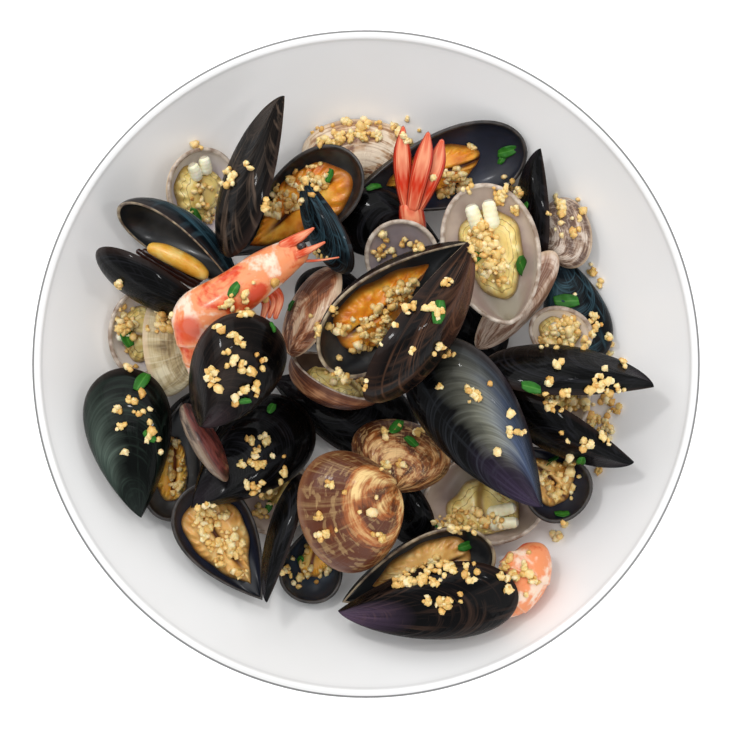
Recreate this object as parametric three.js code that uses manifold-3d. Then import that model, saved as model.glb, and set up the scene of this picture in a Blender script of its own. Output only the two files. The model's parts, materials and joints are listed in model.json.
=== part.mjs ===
// A wide white bowl heaped with steamed mussels, clams and prawns.
// Fried garlic crumbs and chopped greens lie on them.
// Millimetres, +Z up, the origin in the middle of the foot ring's underside.
import * as THREE from "three";
import { mergeVertices } from "three/addons/utils/BufferGeometryUtils.js";
import Module from "manifold-3d";

const wasm = await Module();
wasm.setup();

// ---- Bowl ----
const BOWL_RADIUS = 135;
const BOWL_HEIGHT = 40;
const BOWL_SEGMENTS = 40;
const LIP = 4.2;
const FLOOR_Z = 7;
const FLOOR_RADIUS = 54;
const WALL_POWER = 2.5;
const FOOT_INNER = 53;
const FOOT_OUTER = 60;
const FOOT_RECESS = 2.4;

// ---- Plan of the heap ----
// Every piece is laid out on a plan seen from above, in plan units.
// Plan x runs to the right and plan y towards the front.
const PLAN_MM = 0.4036;
const PLAN_MIDDLE = [366, 364];

// ---- Shell forms ----
// round: how blunt the umbo is. rise and fall: how the dome climbs from the umbo and drops to the rim.
// depth: dome height over width. wall: the shell's thickness in mm.
const MUSSEL = { round: 1, rise: 0.72, fall: 0.62, pinch: 0.55, depth: 0.32, wall: 1.5 };
const CLAM = { round: 0.25, rise: 0.55, fall: 0.6, pinch: 0.5, depth: 0.27, wall: 1.8 };
const FINE = { rows: [0.16, 0.4, 0.66, 0.87, 1], columns: 12 };
const PLAIN = { rows: [0.25, 0.6, 0.86, 1], columns: 10 };
const SPARE = { rows: [0.28, 0.72, 1], columns: 10 };
const FIRST_TAU = 0.34;
const LOWER_DOME = 0.9; // height of a closed shell's lower dome over its upper one
const MEAT_FILL = 0.75; // the share of a valve's hollow that its meat takes
const MEAT_CROWN = 1; // how far the meat swells over the rim, in mm

// ---- Heap ----
const GAP = 0.3;
const CELL = 1;
const FIELD_CELLS = 300;
const SAMPLE = 0.5;
const SPARED = 0.2; // corners that move the form by less than this are left out

const rad = THREE.MathUtils.degToRad;

// ---- Solids from points ----

// A closed solid from a list of [x, y, z] points and a list of [a, b, c] corners.
function solidOf(points, faces) {
  return new wasm.Manifold(
    new wasm.Mesh({
      numProp: 3,
      vertProperties: new Float32Array(points.flat()),
      triVerts: new Uint32Array(faces.flat()),
    }),
  );
}

// A closed solid from a three.js geometry.
function solidFrom(geometry) {
  const bare = geometry.clone();
  bare.deleteAttribute("normal");
  bare.deleteAttribute("uv");
  const merged = mergeVertices(bare, 1e-4);
  return new wasm.Manifold(
    new wasm.Mesh({
      numProp: 3,
      vertProperties: merged.attributes.position.array,
      triVerts: new Uint32Array(merged.index.array),
    }),
  );
}

function geometryOf(solid) {
  const mesh = solid.getMesh();
  const geometry = new THREE.BufferGeometry();
  geometry.setAttribute("position", new THREE.BufferAttribute(new Float32Array(mesh.vertProperties), 3));
  geometry.setIndex(new THREE.BufferAttribute(new Uint32Array(mesh.triVerts), 1));
  geometry.computeVertexNormals();
  return geometry;
}

const quad = (a, b, c, d) => [[a, b, c], [a, c, d]];
const turned = (faces) => faces.map(([a, b, c]) => [a, c, b]);
const mix = (a, b, t) => a + (b - a) * t;

// ---- Bowl ----

// Height of the inner face over the radius: flat in the middle, then steeper and steeper to the lip.
function innerHeight(r) {
  const out = Math.max(0, r - FLOOR_RADIUS) / (BOWL_RADIUS - LIP - FLOOR_RADIUS);
  return FLOOR_Z + (BOWL_HEIGHT - 1.4 - FLOOR_Z) * out ** WALL_POWER;
}

function bowlSolid() {
  const inner = [0, FLOOR_RADIUS, 72, 88, 102, 114, 123, BOWL_RADIUS - LIP];
  const profile = [
    [0, FOOT_RECESS],
    [FOOT_INNER - 1.5, FOOT_RECESS],
    [FOOT_INNER, 0],
    [FOOT_OUTER, 0],
    [FOOT_OUTER + 2, 3.2],
    [90, 6.4],
    [109, 14.6],
    [124, 25],
    [132.4, 34],
    [BOWL_RADIUS, BOWL_HEIGHT - 1.6],
    [BOWL_RADIUS - 0.9, BOWL_HEIGHT - 0.3],
    [BOWL_RADIUS - LIP / 2, BOWL_HEIGHT],
    ...inner.reverse().map((r) => [r, innerHeight(r)]),
  ];
  const points = profile.map(([r, z]) => new THREE.Vector2(r, z));
  return solidFrom(new THREE.LatheGeometry(points, BOWL_SEGMENTS).rotateX(Math.PI / 2));
}

// ---- Shell valves ----

// The rim runs from the umbo round the far end and back: tau goes from 0 to pi.
function rimPoint(shell, tau) {
  const m = shell.round;
  const scale = (m + 2) ** ((m + 2) / 2) / (2 * (m + 1) ** ((m + 1) / 2));
  const along = Math.sin(tau) ** 2;
  const across = scale * Math.cos(tau) * Math.sin(tau) ** (m + 1);
  return [shell.length * along, shell.width * across];
}

// A point of the outer face at growth size s on the line tau:
// the rim shrunk to the umbo and raised by the dome.
function outerPoint(shell, s, tau) {
  const [x, y] = rimPoint(shell, tau);
  const { rise, fall } = shell;
  const peak = rise / (rise + fall);
  const arch = (s ** rise * (1 - s) ** fall) / (peak ** rise * (1 - peak) ** fall);
  const reach = Math.min(1, Math.hypot(x, y) / shell.length) ** shell.pinch;
  return [s * x, s * y, shell.depth * shell.width * arch * reach];
}

// The matching point on the inner face: drawn in from the rim by the wall, and lowered by it.
function innerPoint(shell, s, tau) {
  const [x, y, z] = outerPoint(shell, s, tau);
  const middle = shell.length / 2;
  const high = shell.depth * shell.width;
  return [
    middle + (x - middle) * (1 - (2 * shell.wall) / shell.length),
    y * (1 - (2 * shell.wall) / shell.width),
    (z * (high - shell.wall)) / high,
  ];
}

function tauList(columns) {
  return Array.from({ length: columns + 1 }, (_, j) => mix(FIRST_TAU, Math.PI - FIRST_TAU, j / columns));
}

// One face of a valve as a fan from the umbo plus rows of quads.
// It returns its points, its faces and the corners of its rim.
function valveFace(shell, grid, pointAt) {
  const taus = tauList(grid.columns);
  const rows = grid.rows;
  const points = [pointAt(shell, 0, 0)];
  rows.forEach((s) => taus.forEach((tau) => points.push(pointAt(shell, s, tau))));
  const at = (i, j) => 1 + i * taus.length + j;
  const last = taus.length - 1;
  const faces = [];
  for (let j = 0; j < last; j++) {
    faces.push([0, at(0, j + 1), at(0, j)]);
    for (let i = 0; i + 1 < rows.length; i++)
      faces.push(...quad(at(i, j), at(i, j + 1), at(i + 1, j + 1), at(i + 1, j)));
  }
  for (let i = 0; i + 1 < rows.length; i++) {
    faces.push([0, at(i, 0), at(i + 1, 0)]);
    faces.push([0, at(i + 1, last), at(i, last)]);
  }
  const rim = [0, ...taus.map((_, j) => at(rows.length - 1, j))];
  return { points, faces, rim };
}

// A thin valve: outer face, inner face and the flat strip of the rim between them. Its dome points up.
function valve(shell, grid) {
  const outer = valveFace(shell, grid, outerPoint);
  const inner = valveFace(shell, grid, innerPoint);
  const shift = outer.points.length;
  const faces = [...outer.faces, ...turned(inner.faces).map((f) => f.map((k) => k + shift))];
  outer.rim.forEach((k, i) => {
    const n = (i + 1) % outer.rim.length;
    faces.push(...quad(k, outer.rim[n], inner.rim[n] + shift, inner.rim[i] + shift));
  });
  return { points: [...outer.points, ...inner.points], faces };
}

// A closed shell: a dome up and a slightly shallower dome down, joined at the rim.
function closedShell(shell, grid) {
  const up = valveFace(shell, grid, outerPoint);
  const rim = new Set(up.rim);
  const lower = new Map();
  const points = [...up.points];
  up.points.forEach(([x, y, z], k) => {
    if (rim.has(k)) return lower.set(k, k);
    lower.set(k, points.length);
    points.push([x, y, -LOWER_DOME * z]);
  });
  const down = turned(up.faces).map((f) => f.map((k) => lower.get(k)));
  return { points, faces: [...up.faces, ...down] };
}

// Cooked meat in a valve: a cushion on the valve's own grid, its edge sunk in the wall.
function cushion(shell, grid) {
  const rows = grid.rows.slice(0, -1);
  const taus = tauList(grid.columns).slice(1, -1);
  const points = [];
  const shared = new Set();
  const bottom = [];
  const top = [];
  rows.forEach((s, i) =>
    taus.forEach((tau, j) => {
      const outer = outerPoint(shell, s, tau);
      const inner = innerPoint(shell, s, tau);
      const [u, v] = [i / (rows.length - 1), j / (taus.length - 1)];
      const swell = (Math.sin(Math.PI * u) * Math.sin(Math.PI * v)) ** 0.6;
      const edge = i % (rows.length - 1) === 0 || j % (taus.length - 1) === 0;
      bottom.push(points.push(outer.map((v, k) => mix(v, inner[k], 0.6))) - 1);
      if (edge) shared.add(bottom.at(-1));
      const risen = [inner[0], inner[1], inner[2] * (1 - MEAT_FILL * swell) - MEAT_CROWN * swell];
      top.push(edge ? bottom.at(-1) : points.push(risen) - 1);
    }),
  );
  const faces = [];
  for (let i = 0; i + 1 < rows.length; i++)
    for (let j = 0; j + 1 < taus.length; j++) {
      const k = i * taus.length + j;
      const corners = [k, k + 1, k + 1 + taus.length, k + taus.length];
      faces.push(...quad(...corners.map((c) => bottom[c])));
      faces.push(...turned(quad(...corners.map((c) => top[c]))));
    }
  return { points, faces: faces.filter((f) => !f.every((k) => shared.has(k))) };
}

// ---- Prawns ----

// A tube through stations [x, y, z, half width, half height], closed by a point at each end.
function tube(stations, sides) {
  const points = [];
  const faces = [];
  const spine = stations.map(([x, y, z]) => new THREE.Vector3(x, y, z));
  stations.forEach(([x, y, z, wide, high], i) => {
    const ahead = spine[Math.min(i + 1, spine.length - 1)];
    const behind = spine[Math.max(i - 1, 0)];
    const along = ahead.clone().sub(behind).normalize();
    const across = new THREE.Vector3(0, 0, 1).cross(along).normalize();
    const up = along.clone().cross(across);
    for (let k = 0; k < sides; k++) {
      const angle = (2 * Math.PI * k) / sides;
      const p = new THREE.Vector3(x, y, z);
      p.addScaledVector(across, wide * Math.cos(angle)).addScaledVector(up, high * Math.sin(angle));
      points.push(p.toArray());
    }
  });
  const at = (i, k) => i * sides + (k % sides);
  for (let i = 0; i + 1 < stations.length; i++)
    for (let k = 0; k < sides; k++)
      faces.push(...quad(at(i, k), at(i, k + 1), at(i + 1, k + 1), at(i + 1, k)));
  const head = points.length;
  points.push(spine[0].toArray(), spine.at(-1).toArray());
  for (let k = 0; k < sides; k++) {
    faces.push([head, at(0, k + 1), at(0, k)]);
    faces.push([head + 1, at(stations.length - 1, k), at(stations.length - 1, k + 1)]);
  }
  return solidOf(points, faces);
}

// Stations on the plan: [plan x, plan y, z in mm, half width, half height] in plan units but for z.
const onPlan = ([px, py, z, wide, high]) => [
  (px - PLAN_MIDDLE[0]) * PLAN_MM,
  (PLAN_MIDDLE[1] - py) * PLAN_MM,
  z,
  wide * PLAN_MM,
  high * PLAN_MM,
];

// The big prawn: the abdomen curls up to the carapace, which narrows to the eyes and the rostrum.
const PRAWN_BODY = [
  [198, 380, 0, 6, 6],
  [200, 366, 1, 14, 13],
  [201, 349, 2.5, 20, 18],
  [200, 331, 3.5, 25, 22],
  [203, 318, 4.5, 29, 24],
  [222, 304, 5, 26, 24],
  [241, 290, 5.2, 23, 22],
  [267, 271, 5.5, 21, 18],
  [291, 256, 6.5, 16, 13],
  [309, 249, 7.5, 9, 8],
];
const PRAWN_ROSTRUM = [
  [292, 258, 9, 5, 3],
  [310, 251, 13, 3.6, 2.6],
  [326, 243, 16, 1.2, 1.2],
];
const PRAWN_SCALE = [
  [280, 249, 9, 6, 3],
  [299, 239, 12, 5, 2.6],
  [315, 229, 16, 1.2, 1.2],
];
const PRAWN_FEELER = [
  [300, 262, 5.5, 2.4, 1.8],
  [320, 261, 6.4, 1.8, 1.6],
  [340, 258, 7, 1.2, 1.2],
];
const PRAWN_LEGS = [
  [[256, 290, 0, 5, 3], [266, 303, -2.6, 4.4, 3], [262, 322, -4, 3, 2]],
  [[268, 282, 1.5, 5, 3], [280, 298, -1.4, 4.4, 3], [275, 320, -3, 3, 2]],
];
const PRAWN_EYE = [302, 247, 11, 4.6];

// The loose piece of a prawn's abdomen, curled.
const PRAWN_PIECE = [
  [489, 612, 0, 9, 8],
  [500, 604, 0.6, 18, 16],
  [515, 590, 1.2, 25, 22],
  [526, 570, 1.2, 26, 22],
  [529, 553, 0.6, 21, 17],
  [527, 543, 0, 12, 9],
];

// The tail end of a prawn standing in the heap: the last ring of the body and three blades of the fan.
const TAIL_STEM = [
  [416, 240, -9, 11, 10],
  [413, 224, -4, 13, 12],
  [411, 208, 0, 12, 10],
  [412, 200, 1.5, 8, 7],
];
const TAIL_BLADES = [
  [[409, 212, 0, 6, 4], [404, 184, 6, 8, 3], [402, 154, 11.4, 8, 2.6], [403, 127, 16, 1.4, 1.4]],
  [[412, 212, 2, 6, 4], [418, 182, 9, 8.4, 3], [424, 157, 14, 8.4, 2.6], [428, 133, 18, 1.6, 1.6]],
  [[415, 212, 0, 6, 4], [427, 186, 5.6, 8.6, 3], [436, 163, 10, 8.6, 2.4], [442, 140, 14, 1.8, 1.6]],
];

// The loose meat of the open mussel on the left, and the frill of its mantle beside it.
const LOOSE_MEAT = [
  [208, 278, 0, 5, 5],
  [196, 269, 0.6, 8.6, 8],
  [180, 260, 1, 9.4, 9],
  [163, 252, 0.6, 8.6, 8],
  [147, 247, 0, 5, 5],
];
const LOOSE_FRILL = [
  [203, 281, -1.4, 3, 4],
  [189, 272, -1, 4.6, 6],
  [163, 257, -1, 4.6, 6],
  [148, 250, -1.4, 3, 4],
];

const planTube = (stations, sides) => tube(stations.map(onPlan), sides);
const joined = (solids) => solids.reduce((a, b) => a.add(b));

function ball([px, py, z, radius]) {
  const [x, y] = onPlan([px, py, 0, 0, 0]);
  return solidFrom(new THREE.OctahedronGeometry(radius * PLAN_MM, 1).translate(x, y, z));
}

function prawnSolid() {
  const thin = [PRAWN_ROSTRUM, PRAWN_SCALE, PRAWN_FEELER, ...PRAWN_LEGS];
  return joined([planTube(PRAWN_BODY, 8), ball(PRAWN_EYE), ...thin.map((s) => planTube(s, 5))]);
}

function tailSolid() {
  return joined([planTube(TAIL_STEM, 7), ...TAIL_BLADES.map((s) => planTube(s, 5))]);
}

const pieceSolid = () => planTube(PRAWN_PIECE, 8);
const meatPiece = () => joined([planTube(LOOSE_MEAT, 7), planTube(LOOSE_FRILL, 5)]);

// ---- The heap as a height field ----

const heapTop = new Float32Array(FIELD_CELLS * FIELD_CELLS).fill(-Infinity);
const cellOf = (v) => Math.floor(v / CELL) + FIELD_CELLS / 2;

// Calls visit(cell x, cell y, z) on points spread over every face of a solid.
function eachSample(solid, visit) {
  const mesh = solid.getMesh();
  const p = mesh.vertProperties;
  for (let t = 0; t < mesh.triVerts.length; t += 3) {
    const [a, b, c] = [0, 1, 2].map((k) => mesh.triVerts[t + k] * mesh.numProp);
    const [ux, uy, uz] = [0, 1, 2].map((k) => p[b + k] - p[a + k]);
    const [vx, vy, vz] = [0, 1, 2].map((k) => p[c + k] - p[a + k]);
    const steps = Math.max(1, Math.ceil(Math.max(Math.hypot(ux, uy), Math.hypot(vx, vy)) / SAMPLE));
    for (let i = 0; i <= steps; i++)
      for (let j = 0; j <= steps - i; j++) {
        const [e, f] = [i / steps, j / steps];
        const [x, y] = [p[a] + e * ux + f * vx, p[a + 1] + e * uy + f * vy];
        visit(cellOf(x), cellOf(y), p[a + 2] + e * uz + f * vz);
      }
  }
}

// Adds a solid's upper side to the heap, a cell wider all round.
function pileUp(solid) {
  eachSample(solid, (cx, cy, z) => {
    for (let dx = -1; dx <= 1; dx++)
      for (let dy = -1; dy <= 1; dy++) {
        const cell = (cy + dy) * FIELD_CELLS + cx + dx;
        if (z > heapTop[cell]) heapTop[cell] = z;
      }
  });
}

// Lets a solid down on the heap until it is a gap away from what lies below it.
function letDown(solid) {
  let lift = -Infinity;
  eachSample(solid, (cx, cy, z) => {
    lift = Math.max(lift, heapTop[cy * FIELD_CELLS + cx] - z);
  });
  const placed = solid.translate([0, 0, lift + GAP]);
  pileUp(placed);
  return placed;
}

// ---- Pieces of the heap, from the bottom up ----

// umbo and tip are plan points, width is in plan units. pitch lifts the tip, roll lifts the left side.
// up: "dome" or "cup". fine: more faces, for the shells that show most.
const piece = (up, [name, umbo, tip, width, pitch, roll, more]) =>
  ({ up, name, umbo, tip, width, pitch, roll, ...more });
const cup = (...given) => piece("cup", given);
const dome = (...given) => piece("dome", given);

const PIECES = [
  cup("clam_a", [208, 238], [198, 147], 84, 8, 32, { form: CLAM, meat: true }),
  dome("clam_d", [358, 196], [358, 117], 114, 16, 0, { form: CLAM }),
  cup("clam_o", [180, 336], [107, 330], 88, 2, 0, { form: CLAM, meat: true }),
  cup("clam_w", [298, 464], [248, 528], 78, 0, 0, { form: CLAM, meat: true }),
  cup("mussel_e", [345, 203], [527, 144], 84, -6, 16, { form: MUSSEL, meat: true }),
  dome("mussel_f", [440, 240], [338, 212], 72, 12, -16, { form: MUSSEL }),
  dome("mussel_middle", [318, 348], [334, 266], 70, 2, 0, { form: MUSSEL }),
  dome("mussel_right", [420, 300], [506, 352], 62, 0, 0, { form: MUSSEL }),
  dome("mussel_left", [224, 380], [172, 446], 52, -6, 0, { form: MUSSEL }),
  cup("mussel_q_lower", [181, 402], [167, 522], 62, 2, -6, { form: MUSSEL, meat: true }),
  dome("clam_p", [188, 343], [143, 350], 100, 42, -4, { form: CLAM }),
  cup("mussel_u", [262, 601], [188, 488], 80, 6, 5, { form: MUSSEL, meat: true }),
  cup("mussel_x", [325, 518], [303, 604], 64, 8, 0, { form: MUSSEL, meat: true }),
  cup("clam_aa", [484, 452], [484, 547], 124, 0, 0, { form: CLAM, meat: true }),
  cup("mussel_gg", [515, 446], [582, 512], 70, 0, 0, { form: MUSSEL, meat: true }),
  cup("clam_ff", [512, 400], [592, 393], 86, 0, 0, { form: CLAM, meat: true }),
  dome("mussel_hh", [556, 250], [592, 364], 68, 8, -8, { form: MUSSEL }),
  dome("clam_ii", [540, 240], [592, 226], 74, 10, -12, { form: CLAM }),
  dome("mussel_jj", [541, 148], [537, 264], 62, -15, 68, { form: MUSSEL }),
  dome("clam_ll", [476, 347], [556, 252], 62, 2, 50, { form: CLAM }),
  cup("clam_mm", [554, 362], [567, 307], 66, -4, 6, { form: CLAM, meat: true }),
  { name: "prawn_piece", make: pieceSolid },
  cup("mussel_c", [232, 256], [358, 159], 82, 14, -10, { form: MUSSEL, meat: true }),
  { name: "prawn_tail", make: tailSolid },
  cup("clam_i", [402, 304], [402, 220], 76, 16, -8, { form: CLAM }),
  dome("mussel_z", [270, 380], [416, 440], 84, 2, -16, { form: MUSSEL }),
  dome("mussel_k2", [400, 470], [418, 546], 52, -5, 30, { form: MUSSEL }),
  dome("mussel_q", [141, 518], [120, 368], 90, 4, -10, { form: MUSSEL, fine: true }),
  dome("mussel_t", [191, 508], [303, 408], 92, -20, -8, { form: MUSSEL }),
  dome("mussel_v", [267, 602], [301, 474], 48, -10, -66, { form: MUSSEL }),
  cup("mussel_bb_back", [342, 603], [494, 547], 78, 8, 20, { form: MUSSEL, meat: true }),
  dome("mussel_bb", [338, 611], [518, 592], 86, 10, 28, { form: MUSSEL, fine: true }),
  dome("mussel_n_lower", [219, 315], [97, 251], 70, 2, -64, { form: MUSSEL }),
  cup("mussel_n", [236, 288], [119, 206], 76, 4, -60, { form: MUSSEL, depth: 0.42 }),
  { name: "mussel_n_meat", make: meatPiece },
  cup("clam_l_lower", [292, 354], [384, 395], 90, 4, -68, { form: CLAM, depth: 0.34, meat: true }),
  dome("clam_l", [293, 357], [336, 267], 74, 0, -60, { form: CLAM }),
  dome("mussel_h", [306, 178], [349, 274], 58, -2, 60, { form: MUSSEL }),
  dome("mussel_b", [285, 97], [228, 258], 78, 2, 60, { form: MUSSEL, fine: true }),
  { name: "prawn", make: prawnSolid },
  dome("mussel_ee_lower", [634, 462], [496, 394], 74, 2, -62, { form: MUSSEL }),
  dome("mussel_ee", [653, 387], [480, 368], 82, 2, 62, { form: MUSSEL }),
  dome("clam_s", [184, 404], [227, 481], 50, 6, -78, { form: CLAM, closed: true }),
  dome("clam_y_right", [393, 492], [408, 422], 102, -22, 5, { form: CLAM }),
  cup("clam_kk", [510, 325], [474, 185], 98, -3, -3, { form: CLAM, meat: true, fine: true }),
  dome("mussel_dd", [542, 506], [420, 343], 104, 5, -26, { form: MUSSEL, fine: true }),
  dome("clam_y", [394, 484], [304, 534], 130, 18, -20, { form: CLAM, fine: true }),
  dome("mussel_r", [201, 426], [265, 318], 98, 6, 34, { form: MUSSEL, closed: true, fine: true }),
  cup("mussel_j_back", [466, 243], [324, 366], 94, 6, -28, { form: MUSSEL, meat: true, fine: true }),
  dome("mussel_j", [466, 243], [366, 400], 92, 4, -66, { form: MUSSEL, depth: 0.42, fine: true }),
];

// A piece's points turned and moved to their place on the plan.
function placeOnPlan(item, points) {
  const umbo = onPlan([...item.umbo, 0, 0, 0]);
  const tip = onPlan([...item.tip, 0, 0, 0]);
  const heading = Math.atan2(tip[1] - umbo[1], tip[0] - umbo[0]);
  const place = new THREE.Matrix4()
    .makeTranslation(umbo[0], umbo[1], 0)
    .multiply(new THREE.Matrix4().makeRotationZ(heading))
    .multiply(new THREE.Matrix4().makeRotationY(-rad(item.pitch)))
    .multiply(new THREE.Matrix4().makeRotationX(rad(item.roll)));
  return points.map((p) => new THREE.Vector3(...p).applyMatrix4(place).toArray());
}

// A valve's own sizes in mm: the plan length is what the pitch leaves of the true length.
function shellOf({ form, umbo, tip, width, pitch, depth = form.depth }) {
  const run = Math.hypot(tip[0] - umbo[0], tip[1] - umbo[1]) * PLAN_MM;
  return { ...form, depth, length: run / Math.cos(rad(pitch)), width: width * PLAN_MM };
}

function gridOf({ fine, meat }) {
  if (fine) return FINE;
  return meat ? PLAIN : SPARE;
}

function solidOfPiece(item) {
  if (item.make) return item.make();
  const shell = shellOf(item);
  const grid = gridOf(item);
  const parts = [item.closed ? closedShell(shell, grid) : valve(shell, grid)];
  if (item.meat) parts.push(cushion(shell, grid));
  const solids = parts.map(({ points, faces }) => {
    if (item.up === "dome") return solidOf(placeOnPlan(item, points), faces);
    const mirrored = points.map(([x, y, z]) => [x, y, -z]);
    return solidOf(placeOnPlan(item, mirrored), turned(faces));
  });
  return joined(solids).simplify(SPARED);
}

// ---- Garlic crumbs and chopped greens ----

// Where the crumbs lie thick: plan x, plan y, half length, half width, turn in degrees, how many.
const CRUMB_PATCHES = [
  [296, 190, 36, 17, 37, 5],
  [487, 256, 34, 17, -72, 7],
  [384, 318, 42, 15, 50, 6],
  [222, 540, 34, 18, -62, 5],
  [470, 522, 34, 12, 0, 3],
  [430, 572, 40, 10, 14, 3],
  [455, 182, 20, 12, 0, 3],
  [562, 400, 22, 10, 0, 2],
  [562, 478, 22, 16, 40, 3],
  [560, 334, 20, 12, 20, 3],
  [345, 130, 34, 10, 8, 3],
  [160, 322, 10, 14, 90, 2],
  [238, 372, 26, 24, 0, 3],
  [286, 280, 30, 10, 35, 1],
  [140, 432, 24, 36, 0, 3],
  [498, 420, 20, 34, 30, 2],
  [520, 574, 16, 22, 0, 2],
  [350, 512, 30, 30, 0, 2],
  [600, 408, 12, 14, 0, 3],
];
const CRUMB_RADII = [2.1, 1.6];
const CRUMB_SINK = 0.35;
const GOLDEN_ANGLE = Math.PI * (3 - Math.sqrt(5));

// Cut leaves: plan x, plan y, turn in degrees, length in mm.
const LEAVES = [
  [142, 383, 60, 6],
  [150, 436, -40, 4.6],
  [508, 150, 15, 6],
  [374, 188, 30, 5],
  [437, 311, 65, 5.4],
  [396, 427, 25, 4.6],
  [465, 546, 10, 5.2],
  [567, 301, 5, 6],
  [235, 291, 50, 4.6],
  [581, 462, 80, 5.2],
  [436, 525, 55, 4.8],
];
const LEAF_THICKNESS = 1;

const placed = [];

// The highest thing under a plan point: which solid, and the point and facing there.
function topmost(px, py) {
  const [x, y] = onPlan([px, py, 0, 0, 0]);
  let best = null;
  placed.forEach((entry) => {
    const hit = entry.solid.rayCast([x, y, 200], [x, y, -10])[0];
    if (hit && (!best || hit.position[2] > best.position[2])) best = { ...hit, entry };
  });
  return best;
}

// Joins a small topping to what it lies on, if it stays clear of every other piece.
function fuse(topping, entry) {
  const blocked = placed.some((other) => other !== entry && topping.minGap(other.solid, 1) < GAP);
  if (blocked || entry.solid.intersect(topping).volume() < 0.05) return;
  entry.solid = entry.solid.add(topping).simplify(SPARED);
}

// An even share between 0 and 1 for the nth of a series, the same on every run.
const share = (n, salt) => {
  const far = Math.sin(n * 12.9898 + salt * 78.233) * 43758.5453;
  return far - Math.floor(far);
};

function crumb(radius, n) {
  const geometry = new THREE.OctahedronGeometry(radius * 1.2, 0);
  geometry.rotateX(3 * share(n, 1)).rotateZ(3 * share(n, 2));
  geometry.scale(1 + 0.2 * share(n, 3), 1 + 0.2 * share(n, 4), 0.9);
  return solidFrom(geometry);
}

function scatterCrumbs() {
  let n = 0;
  for (const [px, py, long, wide, turn, count] of CRUMB_PATCHES) {
    for (let i = 0; i < count; i++) {
      n += 1;
      const out = Math.sqrt((i + 0.5) / count);
      const [u, v] = [long * out * Math.cos(i * GOLDEN_ANGLE), wide * out * Math.sin(i * GOLDEN_ANGLE)];
      const [c, d] = [Math.cos(rad(turn)), Math.sin(rad(turn))];
      const hit = topmost(px + u * c + v * d, py - u * d + v * c);
      const radius = mix(...CRUMB_RADII, i / count);
      const centre = hit.position.map((p, k) => p + CRUMB_SINK * radius * hit.normal[k]);
      fuse(crumb(radius, n).translate(centre), hit.entry);
    }
  }
}

// A cut leaf: a thin four-cornered flake folded a little along its middle.
function leaf(length) {
  const [half, wide, fold] = [length / 2, length * 0.3, length * 0.12];
  const outline = [[-half, 0, 0], [0, -wide, fold], [half, 0, 0], [0, wide, fold]];
  const points = [...outline, ...outline.map(([x, y, z]) => [x, y, z + LEAF_THICKNESS])];
  const sides = [0, 1, 2, 3].flatMap((k) => quad(k, (k + 1) % 4, 4 + ((k + 1) % 4), 4 + k));
  return solidOf(points, [[0, 2, 1], [0, 3, 2], [4, 5, 6], [4, 6, 7], ...sides]);
}

function scatterLeaves() {
  for (const [px, py, turn, length] of LEAVES) {
    const hit = topmost(px, py);
    const facing = new THREE.Vector3(...hit.normal);
    const lean = new THREE.Quaternion().setFromUnitVectors(new THREE.Vector3(0, 0, 1), facing);
    const place = new THREE.Matrix4().makeRotationFromQuaternion(lean).setPosition(...hit.position);
    const flake = leaf(length).translate([0, 0, -0.55 * LEAF_THICKNESS]).rotate([0, 0, turn]);
    fuse(flake.transform(place.toArray()), hit.entry);
  }
}

// ---- Put together ----

// Adds a solid to the group as a mesh whose own origin is the middle of its underside.
function addMesh(group, { name, solid, colour, roughness }) {
  const { min, max } = solid.boundingBox();
  const foot = [(min[0] + max[0]) / 2, (min[1] + max[1]) / 2, min[2]];
  const material = new THREE.MeshStandardMaterial({ color: colour, roughness, metalness: 0 });
  const mesh = new THREE.Mesh(geometryOf(solid.translate(foot.map((v) => -v))), material);
  mesh.name = name;
  mesh.position.set(...foot);
  group.add(mesh);
}

const BOWL_COLOUR = "#f4f3f1";
const MUSSEL_COLOUR = "#26252a";
const CLAM_COLOUR = "#c9bda9";
const PRAWN_COLOUR = "#ee8560";
const MEAT_COLOUR = "#ef9a35";

function colourOf(name) {
  if (name === "mussel_n_meat") return MEAT_COLOUR;
  if (name.startsWith("mussel")) return MUSSEL_COLOUR;
  return name.startsWith("clam") ? CLAM_COLOUR : PRAWN_COLOUR;
}

const bowl = bowlSolid();
pileUp(bowl);
placed.push({ name: "bowl", colour: BOWL_COLOUR, roughness: 0.2, solid: bowl });
for (const item of PIECES) {
  const solid = letDown(solidOfPiece(item));
  placed.push({ name: item.name, colour: colourOf(item.name), roughness: 0.4, solid });
}
scatterCrumbs();
scatterLeaves();

const group = new THREE.Group();
placed.forEach((entry) => addMesh(group, entry));

export default group;
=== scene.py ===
# %% [markdown]
# # A bowl of steamed mussels, clams and prawns
# Steamed shellfish are mostly shell: thin valves, joined in pairs at the umbo, that spring open as they cook.
# The heap could be modelled valve by valve by hand. Here one formula of how a shell grows makes every valve,
# and each gets its own length, width and tilt, because that keeps forty shells alike in kind and uneven in size.

# %% Setup
import json

import bpy
import numpy as np
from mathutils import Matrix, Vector
from mathutils.bvhtree import BVHTree

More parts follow.
